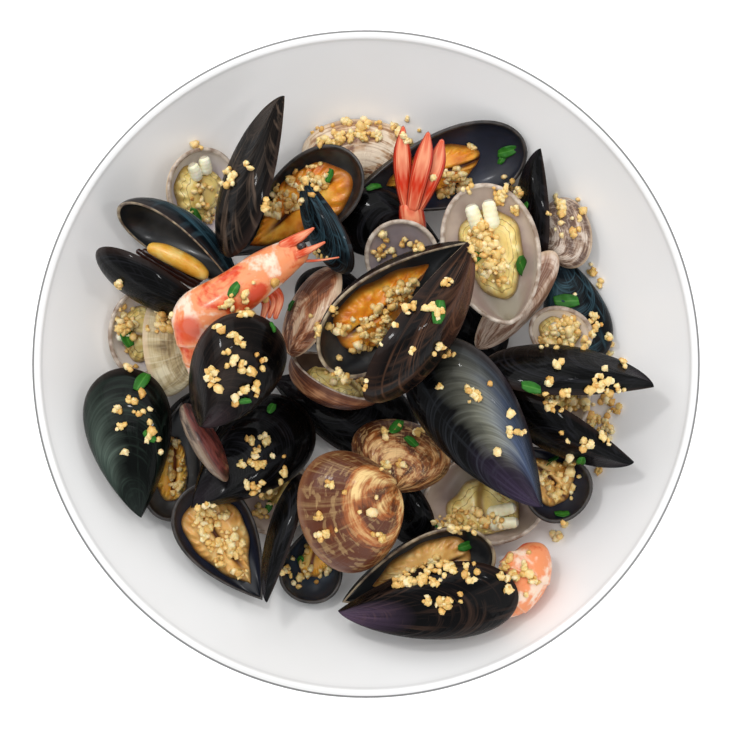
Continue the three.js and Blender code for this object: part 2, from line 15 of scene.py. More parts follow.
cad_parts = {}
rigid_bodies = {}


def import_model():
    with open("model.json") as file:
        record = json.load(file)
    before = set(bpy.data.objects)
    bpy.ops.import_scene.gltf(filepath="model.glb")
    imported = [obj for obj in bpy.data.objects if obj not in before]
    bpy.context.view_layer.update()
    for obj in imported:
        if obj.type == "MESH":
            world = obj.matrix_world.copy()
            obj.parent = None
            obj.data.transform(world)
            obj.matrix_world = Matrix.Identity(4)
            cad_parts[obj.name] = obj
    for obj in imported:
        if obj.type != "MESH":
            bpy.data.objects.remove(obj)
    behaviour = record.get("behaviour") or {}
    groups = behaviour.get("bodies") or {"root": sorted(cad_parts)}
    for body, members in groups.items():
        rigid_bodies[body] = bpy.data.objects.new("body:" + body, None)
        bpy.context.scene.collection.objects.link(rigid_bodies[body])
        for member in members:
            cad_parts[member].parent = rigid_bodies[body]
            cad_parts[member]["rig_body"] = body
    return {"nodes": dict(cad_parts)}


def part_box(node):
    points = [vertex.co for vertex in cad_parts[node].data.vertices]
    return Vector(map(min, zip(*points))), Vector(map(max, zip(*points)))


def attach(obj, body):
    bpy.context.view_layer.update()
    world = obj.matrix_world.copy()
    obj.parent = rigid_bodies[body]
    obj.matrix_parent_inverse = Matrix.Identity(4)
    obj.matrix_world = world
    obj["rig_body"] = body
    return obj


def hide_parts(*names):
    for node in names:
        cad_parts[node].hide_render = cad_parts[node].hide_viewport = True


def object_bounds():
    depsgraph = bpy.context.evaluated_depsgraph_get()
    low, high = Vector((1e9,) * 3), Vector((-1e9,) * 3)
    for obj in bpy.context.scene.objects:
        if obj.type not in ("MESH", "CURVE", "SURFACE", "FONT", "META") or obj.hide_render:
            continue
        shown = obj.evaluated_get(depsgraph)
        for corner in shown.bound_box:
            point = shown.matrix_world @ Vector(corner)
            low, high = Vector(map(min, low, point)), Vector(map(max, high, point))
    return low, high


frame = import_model()
cad_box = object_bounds()
scene = bpy.context.scene
MM = 0.001
rng = np.random.default_rng(11)
print("CAD box in mm:", [[round(v / MM, 1) for v in corner] for corner in cad_box])

# %% [markdown]
# ## Colours, nodes and meshes
# Colours are written as sRGB hex values, as a painter would pick them, and the shader wants linear light.
# Every node is added by one small function. Every piece is put in its mesh by one function, in millimetres,
# with its object left at the origin.

# %% Colours and nodes
def linear(colour):
    """sRGB to linear light: a twelfth below 0.04045, above it a power of 2.4."""
    rgb = np.array([int(colour[i:i + 2], 16) / 255 for i in (1, 3, 5)])
    lit = np.where(rgb <= 0.04045, rgb / 12.92, ((rgb + 0.055) / 1.055) ** 2.4)
    return (*lit.tolist(), 1.0)


def add(tree, kind, inputs=(), stops=None, out=0, **settings):
    """Adds a node and returns one of its outputs. inputs are values, hex colours or other nodes' outputs, in a
    list in the sockets' order or in a dictionary. stops are a ramp's places, each with a colour or a grey."""
    node = tree.nodes.new("ShaderNode" + kind)
    for name, value in settings.items():
        setattr(node, name, value)
    for key, value in inputs.items() if isinstance(inputs, dict) else enumerate(inputs):
        if isinstance(value, bpy.types.NodeSocket):
            tree.links.new(value, node.inputs[key])
        else:
            node.inputs[key].default_value = linear(value) if isinstance(value, str) else value
    if stops:
        elements = node.color_ramp.elements
        while len(elements) < len(stops):
            elements.new(0.5)
        for element, (position, colour) in zip(elements, stops):
            element.position = position
            element.color = linear(colour) if isinstance(colour, str) else (colour, colour, colour, 1.0)
    return node.outputs[out]


def numbers_of(tree, attribute):
    """The three numbers of a vector attribute, to link from."""
    vector = add(tree, "Attribute", out="Vector", attribute_name=attribute)
    return add(tree, "SeparateXYZ", [vector]).node.outputs


def new_finish(name, roughness, **sockets):
    """A material with a bare Principled shader, its sockets set by name with _ for a space, and its node tree."""
    finish = bpy.data.materials.new(name)
    finish.use_nodes = True
    shader = finish.node_tree.nodes["Principled BSDF"]
    for socket, value in ({"Roughness": roughness} | sockets).items():
        shader.inputs[socket.replace("_", " ")].default_value = value
    return finish, finish.node_tree


def dressed(finish, colour, layers=(), relief=None, strength=0.5, depth=0.5, gloss=None):
    """Gives the shader its colour, over which each layer's colour lies by that layer's share, its roughness by
    gloss, and a bump of the relief, whose depth is in mm."""
    tree = finish.node_tree
    for share, over in layers:
        colour = add(tree, "Mix", {0: share, 6: colour, 7: over}, out=2, data_type="RGBA")
    links = {"Base Color": colour, "Roughness": gloss}
    if relief:
        links["Normal"] = add(tree, "Bump", {"Height": relief, "Strength": strength, "Distance": depth * MM})
    for socket, output in links.items():
        if output:
            tree.links.new(output, tree.nodes["Principled BSDF"].inputs[socket])
    return finish

# %% Meshes
def make_piece(name, points, faces, finishes, finish_of_face=None, attributes=None, node=None):
    """Points in mm and lists of corners become a smooth mesh that rides on the root body."""
    mesh = bpy.data.meshes.new(name)
    mesh.from_pydata((np.asarray(points) * MM).tolist(), [], faces)
    mesh.polygons.foreach_set("use_smooth", np.ones(len(faces), dtype=bool))
    for finish in finishes:
        mesh.materials.append(finish)
    if finish_of_face is not None:
        mesh.polygons.foreach_set("material_index", np.asarray(finish_of_face, dtype=np.int32))
    for key, values in (attributes or {}).items():
        values = np.asarray(values, dtype=np.float32)
        kind, field = ("FLOAT", "value") if values.ndim == 1 else ("FLOAT_VECTOR", "vector")
        mesh.attributes.new(key, kind, "POINT").data.foreach_set(field, values.ravel())
    mesh.update()
    piece = bpy.data.objects.new(name, mesh)
    scene.collection.objects.link(piece)
    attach(piece, "root")
    if node:
        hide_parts(node)
    return piece


def quads(rows, columns, wrap=False):
    """Corners of the quads between the points of a grid that is counted row by row."""
    i = np.arange(rows - 1)[:, None]
    j = np.arange(columns if wrap else columns - 1)[None, :]
    a, b = i * columns + j, i * columns + (j + 1) % columns
    return np.stack([a, b, b + columns, a + columns], -1).reshape(-1, 4)


def capped(count, sides):
    """Faces of count rings of sides points each, closed by two poles that come after them in the list."""
    n, j = count * sides, np.arange(sides)
    after = (j + 1) % sides
    first = np.stack([np.full(sides, n), after, j], -1)
    last = np.stack([np.full(sides, n + 1), n - sides + j, n - sides + after], -1)
    return quads(count, sides, wrap=True).tolist() + first.tolist() + last.tolist()


def turned(profile, sides):
    """A profile of (radius, height) turned round the z axis: its rings, with its two ends after them as poles."""
    angle = 2 * np.pi * np.arange(sides) / sides
    r, z = profile[1:-1, :1], profile[1:-1, 1:]
    rings = np.stack([r * np.cos(angle), r * np.sin(angle), z + 0 * angle], -1)
    return np.vstack([rings.reshape(-1, 3), (0, 0, profile[0, 1]), (0, 0, profile[-1, 1])])


def flipped(faces):
    """The same faces, looking the other way."""
    return [face[::-1] for face in faces]


def joined(parts):
    """One mesh from several (points, faces, marks): the corners of each are counted on from those before it."""
    shifts = np.cumsum([0] + [len(points) for points, faces, marks in parts])[:-1]
    faces = [[k + shift for k in face] for (p, f, m), shift in zip(parts, shifts.tolist()) for face in f]
    return np.vstack([p for p, f, m in parts]), faces, np.vstack([m for p, f, m in parts])

# %% [markdown]
# ## Camera, light and floor
# The bowl is seen from straight above. A long lens a few metres up keeps the tall middle of the heap from
# growing against the rim. One large soft light stands at the upper left, a weaker one faces it, two small ones
# make glints, and the sky fills the rest, because wet black shells show little but what they reflect.

# %% The view
BOWL_RADIUS = 135
BOWL_HEIGHT = 40
RIM_IN_PIXELS = 334.5
FRAME_PIXELS = 730
BOWL_MIDDLE = (366, 364)
LENS = 400
SENSOR = 36

pixel = BOWL_RADIUS / RIM_IN_PIXELS
distance = pixel * FRAME_PIXELS * LENS / SENSOR
camera = bpy.data.objects.new("camera", bpy.data.cameras.new("camera"))
camera.data.lens = LENS
camera.data.sensor_width = SENSOR
camera.data.clip_end = 20
off_x = (FRAME_PIXELS / 2 - BOWL_MIDDLE[0]) * pixel
off_y = (BOWL_MIDDLE[1] - FRAME_PIXELS / 2) * pixel
camera.location = (off_x * MM, off_y * MM, (distance + BOWL_HEIGHT) * MM)
scene.collection.objects.link(camera)
scene.camera = camera
print("one pixel is", round(pixel, 4), "mm at the rim, camera", round(distance), "mm above it")

# %% The light
def soft_light(name, place, size, power):
    """A square area light that faces the bowl from the given place."""
    light = bpy.data.objects.new(name, bpy.data.lights.new(name, "AREA"))
    light.data.size = size
    light.data.energy = power
    light.location = place
    light.rotation_euler = (Vector((0, 0, 0.03)) - Vector(place)).to_track_quat("-Z", "Y").to_euler()
    scene.collection.objects.link(light)


soft_light("key_light", (-0.4, 1.0, 1.3), 2.2, 19)
soft_light("fill_light", (1.1, -0.9, 1.0), 1.8, 8)
soft_light("glint_light", (-0.4, 0.5, 1.3), 0.12, 3.2)
soft_light("small_glint_light", (0.55, 0.15, 1.3), 0.1, 1.4)
scene.world = bpy.data.worlds.new("studio")
scene.world.use_nodes = True
sky = scene.world.node_tree.nodes["Background"]
sky.inputs["Color"].default_value = linear("#f6f8fb")
sky.inputs["Strength"].default_value = 0.63
scene.view_settings.view_transform = "Standard"

# %% The floor
FLOOR_HALF = 4.0
floor_mesh = bpy.data.meshes.new("floor")
corners = [(-FLOOR_HALF, -FLOOR_HALF, 0), (FLOOR_HALF, -FLOOR_HALF, 0), (FLOOR_HALF, FLOOR_HALF, 0),
           (-FLOOR_HALF, FLOOR_HALF, 0)]
floor_mesh.from_pydata(corners, [], [(0, 1, 2, 3)])
paper, tree = new_finish("white_paper_floor", 0.9, Emission_Color=(1, 1, 1, 1), Emission_Strength=0.45)
grain = add(tree, "TexNoise", {"Scale": 3.0})
dressed(paper, add(tree, "ValToRGB", [grain], stops=[(0, "#fdfdfd"), (1, "#ffffff")]))
floor_mesh.materials.append(paper)
floor = bpy.data.objects.new("floor", floor_mesh)
scene.collection.objects.link(floor)

# %% [markdown]
# ## The bowl
# A pasta bowl of white glazed stoneware: a flat middle, a wall that climbs ever more steeply, a rolled lip and a
# foot ring. It is turned on a wheel, so a profile is turned round the axis, with every edge rounded by the glaze.

# %% The bowl's form
LIP = 4.2          # width of the rolled lip
LIP_DROP = 1.4     # from the top of the lip down to where the wall would meet it
SEAM = 0.35        # from there to the wall's first ring
FLOOR_Z = 7
FLOOR_RADIUS = 54
WALL_POWER = 2.5
BOWL_STEPS = 180


def spline(stations, count):
    """Catmull-Rom: at each station the curve runs parallel to the line that joins its neighbours."""
    p = np.asarray(stations, dtype=float)
    p = np.vstack([2 * p[0] - p[1], p, 2 * p[-1] - p[-2]])
    t = np.linspace(0, len(stations) - 1, count)
    k = np.minimum(t.astype(int), len(stations) - 2)
    u = (t - k)[:, None]
    a, b, c, d = (p[k + i] for i in range(4))
    return 0.5 * (2 * b + (c - a) * u + (2 * a - 5 * b + 4 * c - d) * u**2 + (3 * b - a - 3 * c + d) * u**3)


foot = spline([(0, 2.4), (30, 2.4), (50.6, 2.4), (52.2, 1.6), (53, 0.3), (54, 0)], 30)
ring = spline([(55, 0), (59.2, 0.05), (60.4, 1.2), (62, 3.2), (68, 4.1), (90, 6.6), (109, 14.8), (124, 25.2),
               (132.3, 34.2)], 50)
lip = spline([(134, 36.6), (134.9, 38.3), (134.4, 39.6), (132.9, 40), (131.6, 39.6), (130.9, 38.75)], 22)
# The inside is flat within the floor's radius, then climbs by the 2.5th power of the share of the way out.
inner_r = np.linspace(BOWL_RADIUS - LIP - SEAM, 0, 70)
out = np.maximum(0, inner_r - FLOOR_RADIUS) / (BOWL_RADIUS - LIP - FLOOR_RADIUS)
inner = np.stack([inner_r, FLOOR_Z + (BOWL_HEIGHT - LIP_DROP - FLOOR_Z) * out ** WALL_POWER], -1)
profile = np.maximum(np.vstack([foot, ring, lip, inner]), 0)
bowl_points = turned(profile, BOWL_STEPS)
print("bowl:", len(bowl_points), "points")

# %% [markdown]
# ## Glazed stoneware
# Clear glaze over a white body: a sharp coat of gloss over soft white, with a barely seen unevenness of the glaze.
# The lip is toned a little darker than the wall, with painted shade in a faint line where it meets the wall and in
# a dark line round its outer edge, where it turns down.

# %% The bowl's finish
glaze, tree = new_finish("white_glazed_stoneware", 0.28, IOR=1.5, Coat_Weight=0.35, Coat_Roughness=0.08)
where = add(tree, "TexCoord", out="Object")
level = add(tree, "VectorMath", [where, (1, 1, 0)], operation="MULTIPLY")
radius = add(tree, "VectorMath", [level], out="Value", operation="LENGTH")
across_lip = add(tree, "MapRange", [radius, 0.129, 0.1355, 0.0, 1.0])
# painted shade: a faint darker ring at the lip's inner edge and a dark ring round its outer edge, over a lip a
# little darker than the wall
thin = add(tree, "ValToRGB", [across_lip], stops=[
    (0.0, 1.0), (0.2, 0.97), (0.27, 0.88), (0.34, 0.96), (0.75, 0.96), (0.79, 0.2)])
cloud = add(tree, "TexNoise", {"Vector": where, "Scale": 14.0, "Detail": 3.0})
white = add(tree, "ValToRGB", [cloud], stops=[(0.3, "#efeeec"), (0.7, "#f6f5f4")])
white = add(tree, "Mix", {0: 1.0, 6: white, 7: thin}, out=2, data_type="RGBA", blend_type="MULTIPLY")
dressed(glaze, white, relief=cloud, strength=0.15, depth=0.6)
make_piece("bowl_glazed", bowl_points, capped(len(profile) - 2, BOWL_STEPS), [glaze], node="bowl")

# %% [markdown]
# ## How a shell grows
# A valve is the trace of its own rim: the rim starts as a point, the umbo, and grows without changing shape.
# So a point of the valve has two numbers. tau runs round the rim, from the umbo round the far end and back, and
# s is the size that the rim had when the shell was laid down there. Growth lines are lines of one s.

# %% The valve's formula
# round blunts the umbo's end, rise and fall are the powers of the dome's two slopes, pinch the power by which it
# rises from the umbo, depth its height as a share of the width, and wall and ridge are in mm
SHAPES = {
    "mussel": dict(round=1.0, rise=0.72, fall=0.62, pinch=0.55, depth=0.32, wall=1.5, ridge=0.07),
    "clam": dict(round=0.25, rise=0.55, fall=0.6, pinch=0.5, depth=0.27, wall=1.8, ridge=0.14),
}


def rim_line(shell, tau):
    """x is the length times sin squared of tau; y is the width times cos times a power of sin, scaled to one."""
    m = shell["round"]
    scale = (m + 2) ** ((m + 2) / 2) / (2 * (m + 1) ** ((m + 1) / 2))
    sine = np.maximum(np.sin(tau), 0)
    return shell["length"] * sine**2, shell["width"] * scale * np.cos(tau) * sine ** (m + 1)


def outer_face(shell, s, tau):
    """The rim shrunk by s towards the umbo, raised by a dome that is nought at the umbo and at the rim."""
    x, y = rim_line(shell, tau)
    rise, fall = shell["rise"], shell["fall"]
    peak = rise / (rise + fall)
    arch = s**rise * (1 - s) ** fall / (peak**rise * (1 - peak) ** fall)
    reach = np.minimum(1, np.hypot(x, y) / shell["length"]) ** shell["pinch"]
    high = shell["depth"] * shell["width"]
    return np.stack(np.broadcast_arrays(s * x, s * y, high * arch * reach), -1)


def inner_face(shell, s, tau):
    """The outer face drawn in from the rim by the wall's thickness, and lowered by it."""
    x, y, z = np.moveaxis(outer_face(shell, s, tau), -1, 0)
    middle = shell["length"] / 2
    high = shell["depth"] * shell["width"]
    thin_x = 1 - 2 * shell["wall"] / shell["length"]
    thin_y = 1 - 2 * shell["wall"] / shell["width"]
    return np.stack([middle + (x - middle) * thin_x, y * thin_y, z * (high - shell["wall"]) / high], -1)


def hollow(shell, x, y):
    """Height of the inner face over the rim's plane: tau comes from the direction seen from the umbo, s from how
    far out the point lies on it."""
    middle = shell["length"] / 2
    x = np.maximum(middle + (x - middle) / (1 - 2 * shell["wall"] / shell["length"]), 1e-3)
    y = y / (1 - 2 * shell["wall"] / shell["width"])
    table = np.linspace(np.pi / 2, 0.02, 240)
    table_x, table_y = rim_line(shell, table)
    tau = np.interp(np.abs(y) / x, table_y / table_x, table)
    s = np.clip(x / (shell["length"] * np.sin(tau) ** 2), 1e-4, 1 - 1e-6)
    high = shell["depth"] * shell["width"]
    return outer_face(shell, s, tau)[..., 2] * (high - shell["wall"]) / high

# %% [markdown]
# ## A valve as a mesh
# The outer face, the inner face and a rounded lip between them close into one thin solid. Rows are spaced closer
# at the umbo and at the rim, where the dome turns fastest. The outer face carries low growth ridges.

# %% Growth ridges
# mm from ridge to ridge, share of the height
RIDGES = ((9.0, 0.4), (5.3, 0.3), (3.1, 0.2), (2.2, 0.15))


def ridges(shell, s, tau, seed):
    """A sum of waves along s, each with its own phase, that die out at the umbo and at the rim."""
    phase = np.random.default_rng(seed).uniform(0, 2 * np.pi, len(RIDGES))
    height = sum(share * np.cos(2 * np.pi * shell["length"] / pitch * s + p + 0.7 * np.cos(tau))
                 for (pitch, share), p in zip(RIDGES, phase))
    return shell["ridge"] * height * np.clip(4 * s, 0, 1) * np.clip(12 * (1 - s), 0, 1)

# %% One valve
FIRST_TAU = 0.1     # where the first column leaves the umbo
LIP_ROUND = 0.35    # how far the lip stands over the rim's plane


def valve_mesh(shell, rows, columns, seed):
    """Points, faces, finish of each face and the shell attribute (share round the rim, growth, side)."""
    step = np.arange(1, rows + 1) / rows
    s = ((1 - np.cos(np.pi * step)) / 2)[:, None]
    tau = np.linspace(FIRST_TAU, np.pi - FIRST_TAU, columns)[None, :]
    outer, inner = outer_face(shell, s, tau), inner_face(shell, s, tau)
    outer[..., 2] += ridges(shell, s, tau, seed)
    outer[-1, :, 2] = 0
    lip = (outer[-1] + inner[-1]) / 2 - [0, 0, LIP_ROUND]
    tips = np.array([[0, 0, 0], [shell["wall"], 0, 0], [shell["wall"] / 2, 0, -LIP_ROUND]])
    points = np.vstack([outer.reshape(-1, 3), inner.reshape(-1, 3), lip, tips])
    size = rows * columns
    outer_tip, inner_tip, lip_tip = 2 * size + columns + np.arange(3)
    j = np.arange(columns - 1)
    i = np.arange(rows - 1) * columns
    last = columns - 1
    side = quads(rows, columns)
    tri = np.vstack([
        np.stack([np.full(last, outer_tip), j + 1, j], -1),
        np.stack([np.full(rows - 1, outer_tip), i, i + columns], -1),
        np.stack([np.full(rows - 1, outer_tip), i + columns + last, i + last], -1)])
    inside = np.where(tri == outer_tip, inner_tip, tri + size)[:, ::-1]
    rim_row, lip_row = size - columns, 2 * size
    out_loop = np.append(rim_row + np.arange(columns), outer_tip)
    lip_loop = np.append(lip_row + np.arange(columns), lip_tip)
    in_loop = np.append(size + rim_row + np.arange(columns), inner_tip)
    strips = [np.stack([a, np.roll(a, -1), np.roll(b, -1), b], -1)
              for a, b in ((out_loop, lip_loop), (lip_loop, in_loop))]
    faces = side.tolist() + tri.tolist() + (side[:, ::-1] + size).tolist() + inside.tolist()
    faces += np.vstack(strips).tolist()
    skin = len(side) + len(tri)
    finish = np.repeat([0, 1, 2], [skin, skin, 2 * (columns + 1)])
    fan = np.broadcast_to(tau / np.pi, (rows, columns)).ravel()
    growth = np.broadcast_to(s, (rows, columns)).ravel()
    ones = np.ones(columns)
    marks = np.stack([
        np.concatenate([fan, fan, tau.ravel() / np.pi, [0.5, 0.5, 0.5]]),
        np.concatenate([growth, growth, ones, [0, 0, 0]]),
        np.concatenate([0 * fan, 0 * fan + 1, 0.5 * ones, [0, 1, 0.5]])], -1)
    return points, faces, finish, marks

# %% A closed pair
LOWER_DOME = 0.9    # the lower dome's height as a share of the upper one's
PAIR_GAP = 0.02


def closed_mesh(shell, rows, columns, seed):
    """Two domes joined at the rim, a hair apart: one up, one down with nine tenths of its height."""
    points, faces, finish, marks = valve_mesh(shell, rows, columns, seed)
    size = rows * columns
    tip = 2 * size + columns
    outer = np.vstack([points[:size], points[tip]])
    below = outer * [1, 1, -LOWER_DOME] - [0, 0, PAIR_GAP]
    up = [[size if k == tip else k for k in face] for face, mark in zip(faces, finish) if mark == 0]
    down = [[k + size + 1 for k in face] for face in flipped(up)]
    loop = np.append(size - columns + np.arange(columns), size)
    after = np.roll(loop, -1)
    seam = np.stack([loop, after, after + size + 1, loop + size + 1], -1).tolist()
    outer_marks = np.vstack([marks[:size], marks[tip]])
    finish = np.repeat([0, 1, 2], [len(up), len(down), len(seam)])
    return np.vstack([outer, below]), up + down + seam, finish, np.vstack([outer_marks, outer_marks])

# %% [markdown]
# ## Mussel shell
# A mussel's shell is calcite under a thin dark horn skin, the periostracum, laid down in growth lines. Wet from
# the pot it is glossy, almost black, with blue, brown or purple where the skin is thin, and some shells carry a
# painted sheen, a lighter band that stands for the light's reflection. The lines follow s, so the pattern is drawn
# on (share round the rim, growth): long and narrow along the lines. The inside is nacre stained blue-grey by the
# broth, and the lip is bare brown horn, pale on some shells, which is partly a painted rim highlight.

# %% Patterns that grow with the shell
def shell_patterns(tree, stretches, distortion=0.0):
    """The share round the rim, the growth, and a noise for each stretch (round the rim, along the growth). The
    seed gives every shell patterns of its own."""
    around, growth = numbers_of(tree, "shell")[:2]
    seed = add(tree, "Attribute", out="Fac", attribute_name="seed")
    place = add(tree, "CombineXYZ", [around, growth, seed])
    noises = []
    for stretch in stretches:
        at = add(tree, "VectorMath", [place, (*stretch, 1.0)], operation="MULTIPLY")
        noises.append(add(tree, "TexNoise", {"Vector": at, "Scale": 1.0, "Detail": 3.0, "Distortion": distortion}))
    return around, growth, noises

# %% A mussel's outside
HORN_EDGE = "#3a2a24"


def mussel_horn(name, dark, streak, umbo, strength=0.5, sheen=None, umbo_reach=0.34, rings_share=1.0,
                rays_share=0.7):
    """Wet periostracum: dark, with streaks of a second colour along the growth lines by rings_share and down the
    shell by rays_share, and a third colour at the umbo. sheen is a painted reflection of the light, a lighter band
    on the right (1) or left (-1) half: (inner colour, outer colour, share, half)."""
    finish, tree = new_finish(name, 0.3, IOR=1.5, Coat_Weight=0.14, Coat_Roughness=0.07, Specular_IOR_Level=0.035)
    around, growth, (bands, lines, rays) = shell_patterns(tree, ((3.0, 9.0), (5.0, 70.0), (34.0, 2.5)))
    both = add(tree, "Math", [bands, lines], operation="MULTIPLY")
    ringed = add(tree, "MapRange", [both, 0.26, 0.43, 0.0, rings_share * strength])
    rayed = add(tree, "MapRange", [rays, 0.55, 0.72, 0.0, rays_share * strength])
    layers = [(add(tree, "Math", [ringed, rayed], operation="MAXIMUM"), streak)]
    # painted sheen: a lighter band on one half that stands for the light's reflection
    if sheen:
        inner, outer, share, half = sheen
        drift = add(tree, "MapRange", [bands, 0.3, 0.7, -0.04, 0.04])
        side = around if half > 0 else add(tree, "Math", [1.0, around], operation="SUBTRACT")
        across = add(tree, "Math", [side, drift], operation="ADD")
        band = add(tree, "ValToRGB", [across], stops=[
            (0.48, 0.0), (0.55, 0.3), (0.64, 1.0), (0.76, 0.6), (0.94, 0.12)])
        reach = add(tree, "ValToRGB", [growth], stops=[(0.25, 0.05), (0.48, 1.0), (0.72, 0.85), (0.95, 0.15)])
        broken = add(tree, "MapRange", [lines, 0.34, 0.62, 0.6 * share, share])
        painted_sheen = add(tree, "Math", [band, reach], operation="MULTIPLY")
        painted_sheen = add(tree, "Math", [painted_sheen, broken], operation="MULTIPLY")
        layers.append((painted_sheen, add(tree, "ValToRGB", [across], stops=[(0.58, inner), (0.74, outer)])))
    near_umbo = add(tree, "MapRange", [growth, umbo_reach, 0.04, 0.0, 1.1])
    layers.append((add(tree, "Math", [near_umbo, rays], operation="MULTIPLY"), umbo))
    layers.append((add(tree, "MapRange", [growth, 0.95, 1.0, 0.0, 0.4]), HORN_EDGE))
    relief = add(tree, "Math", [lines, rays], operation="ADD")
    gloss = add(tree, "MapRange", [bands, 0.3, 0.7, 0.2, 0.4])
    return dressed(finish, dark, layers, relief, 0.45, 0.5, gloss)


# dark, streak and umbo colours, strength; where given, the sheen is a painted reflection, a lighter band on one
# half; then umbo_reach, rings_share, rays_share
MUSSEL_HORNS = {
    "black": ("#040404", "#303036", "#2c252a"),
    "blue": ("#070b0e", "#41626f", "#36424e", 0.8, ("#4f7480", "#34525f", 0.55, 1)),
    "brown": ("#0a0706", "#5a4a3e", "#44382f", 0.8, None, 0.34, 0.45, 1.2),
    "umber": ("#070505", "#60412f", "#7a4e3a", 0.7, None, 0.62),
    "dusk": ("#040303", "#35261f", "#46363a", 0.4, ("#6a5a50", "#2e2422", 0.34, -1)),
    "green_black": ("#050806", "#303f36", "#2c3430", 0.5, ("#76867a", "#4c5e54", 0.6, -1)),
    "grey_blue": ("#060607", "#3c4046", "#4a3c56", 0.45, ("#a2a290", "#5c6c8c", 1.0, 1), 0.5),
    "purple": ("#060506", "#453228", "#6c5670", 0.6, None, 0.46, 1.0, 1.0),
}
MUSSEL_OUTSIDES = {key: mussel_horn("mussel_horn_" + key, *look) for key, look in MUSSEL_HORNS.items()}

# %% Insides and lips
def shell_inside(name, deep, middle, edge, roughness=0.32):
    """Nacre: one colour in the hollow, another towards the rim, and a last one at the rim, softly clouded."""
    finish, tree = new_finish(name, roughness, IOR=1.55, Coat_Weight=0.16, Coat_Roughness=0.15,
                              Specular_IOR_Level=0.3)
    where = add(tree, "TexCoord", out="Object")
    cloud = add(tree, "TexNoise", {"Vector": where, "Scale": 90.0, "Detail": 3.0})
    shift = add(tree, "MapRange", [cloud, 0.3, 0.7, -0.12, 0.12])
    place = add(tree, "Math", [numbers_of(tree, "shell")[1], shift], operation="ADD")
    tone = add(tree, "ValToRGB", [place], stops=[(0.25, deep), (0.72, middle), (0.96, edge)])
    return dressed(finish, tone, relief=cloud, strength=0.2)


def horn_lip(name, pale, dark):
    """The bare edge of the shell: pale horn broken by darker spots about 2 mm long."""
    finish, tree = new_finish(name, 0.35, IOR=1.5)
    where = add(tree, "TexCoord", out="Object")
    spots = add(tree, "TexNoise", {"Vector": where, "Scale": 260.0, "Detail": 2.0})
    return dressed(finish, add(tree, "ValToRGB", [spots], stops=[(0.35, dark), (0.65, pale)]))


MUSSEL_NACRE = {
    "grey": ("#222426", "#4b4b4a", "#1d1e20"),
    "navy": ("#12161f", "#1f2537", "#141824", 0.5),
    "slate": ("#202833", "#35414f", "#20262f"),
}
MUSSEL_INSIDES = {key: shell_inside("mussel_nacre_" + key, *look) for key, look in MUSSEL_NACRE.items()}
MUSSEL_LIP = horn_lip("mussel_lip_dark_horn", "#3e3733", "#1d1a19")
# the pale lip is pale horn and partly a painted rim highlight, where light would catch the edge
MUSSEL_LIP_PALE_HIGHLIT = horn_lip("mussel_lip_pale_horn", "#ae9c7e", "#5c4a3e")
PALE_HIGHLIT_LIPPED = ("mussel_j_back", "mussel_j", "mussel_b", "mussel_bb_back", "mussel_n", "mussel_ee")

# %% [markdown]
# ## Clam shell
# Carpet clams are ribbed both ways and mottled brown on cream, the ribs wearing pale. Inside they are smooth and
# greyish mauve, with a broad pale band at the rim.

# %% A clam's outside
def clam_ribs(name, pale, mid, dark, mottle=0.5, rays=0.3, outer=0.0, net=0.0, patches=(8.0, 6.5), ringing=0.45,
              rim="#d9bd9c"):
    """Mottled calcite. Patches a few mm wide go from dark over mid to pale, with harder edges by mottle and more
    dark towards the rim by outer, and net crosses them with pale zigzags. Growth lines, dark by ringing, and ribs,
    pale by rays, lie over them, and rim is the colour of the edge."""
    finish, tree = new_finish(name, 0.38, IOR=1.5, Coat_Weight=0.2, Coat_Roughness=0.15, Specular_IOR_Level=0.3)
    growth, (patch, rings, ribs, mesh) = shell_patterns(
        tree, (patches, (5.0, 46.0), (90.0, 1.5), (26.0, 26.0)), 0.4)[1:]
    swing = 0.15 * ringing
    sway = add(tree, "MapRange", [rings, 0.3, 0.7, -swing, swing])
    place = add(tree, "Math", [patch, sway], operation="ADD")
    late = add(tree, "MapRange", [growth, 0.6, 0.86, 0.0, -outer])
    place = add(tree, "Math", [place, late], operation="ADD")
    half = 0.14 * (1.3 - mottle)
    tone = add(tree, "ValToRGB", [place], stops=[(0.5 - half, dark), (0.5, mid), (0.5 + half, pale)])
    over = [([ribs, 0.52, 0.7, 0.0, rays], pale), ([rings, 0.36, 0.5, ringing, 0.0], dark)]
    over += [([mesh, 0.54, 0.6, 0.0, net], pale)] if net else []
    over += [([growth, 0.965, 0.995, 0.0, 0.7], rim)]
    layers = [(add(tree, "MapRange", ranges), colour) for ranges, colour in over]
    relief = add(tree, "Math", [rings, ribs], operation="ADD")
    return dressed(finish, tone, layers, relief, 0.6, 0.6)


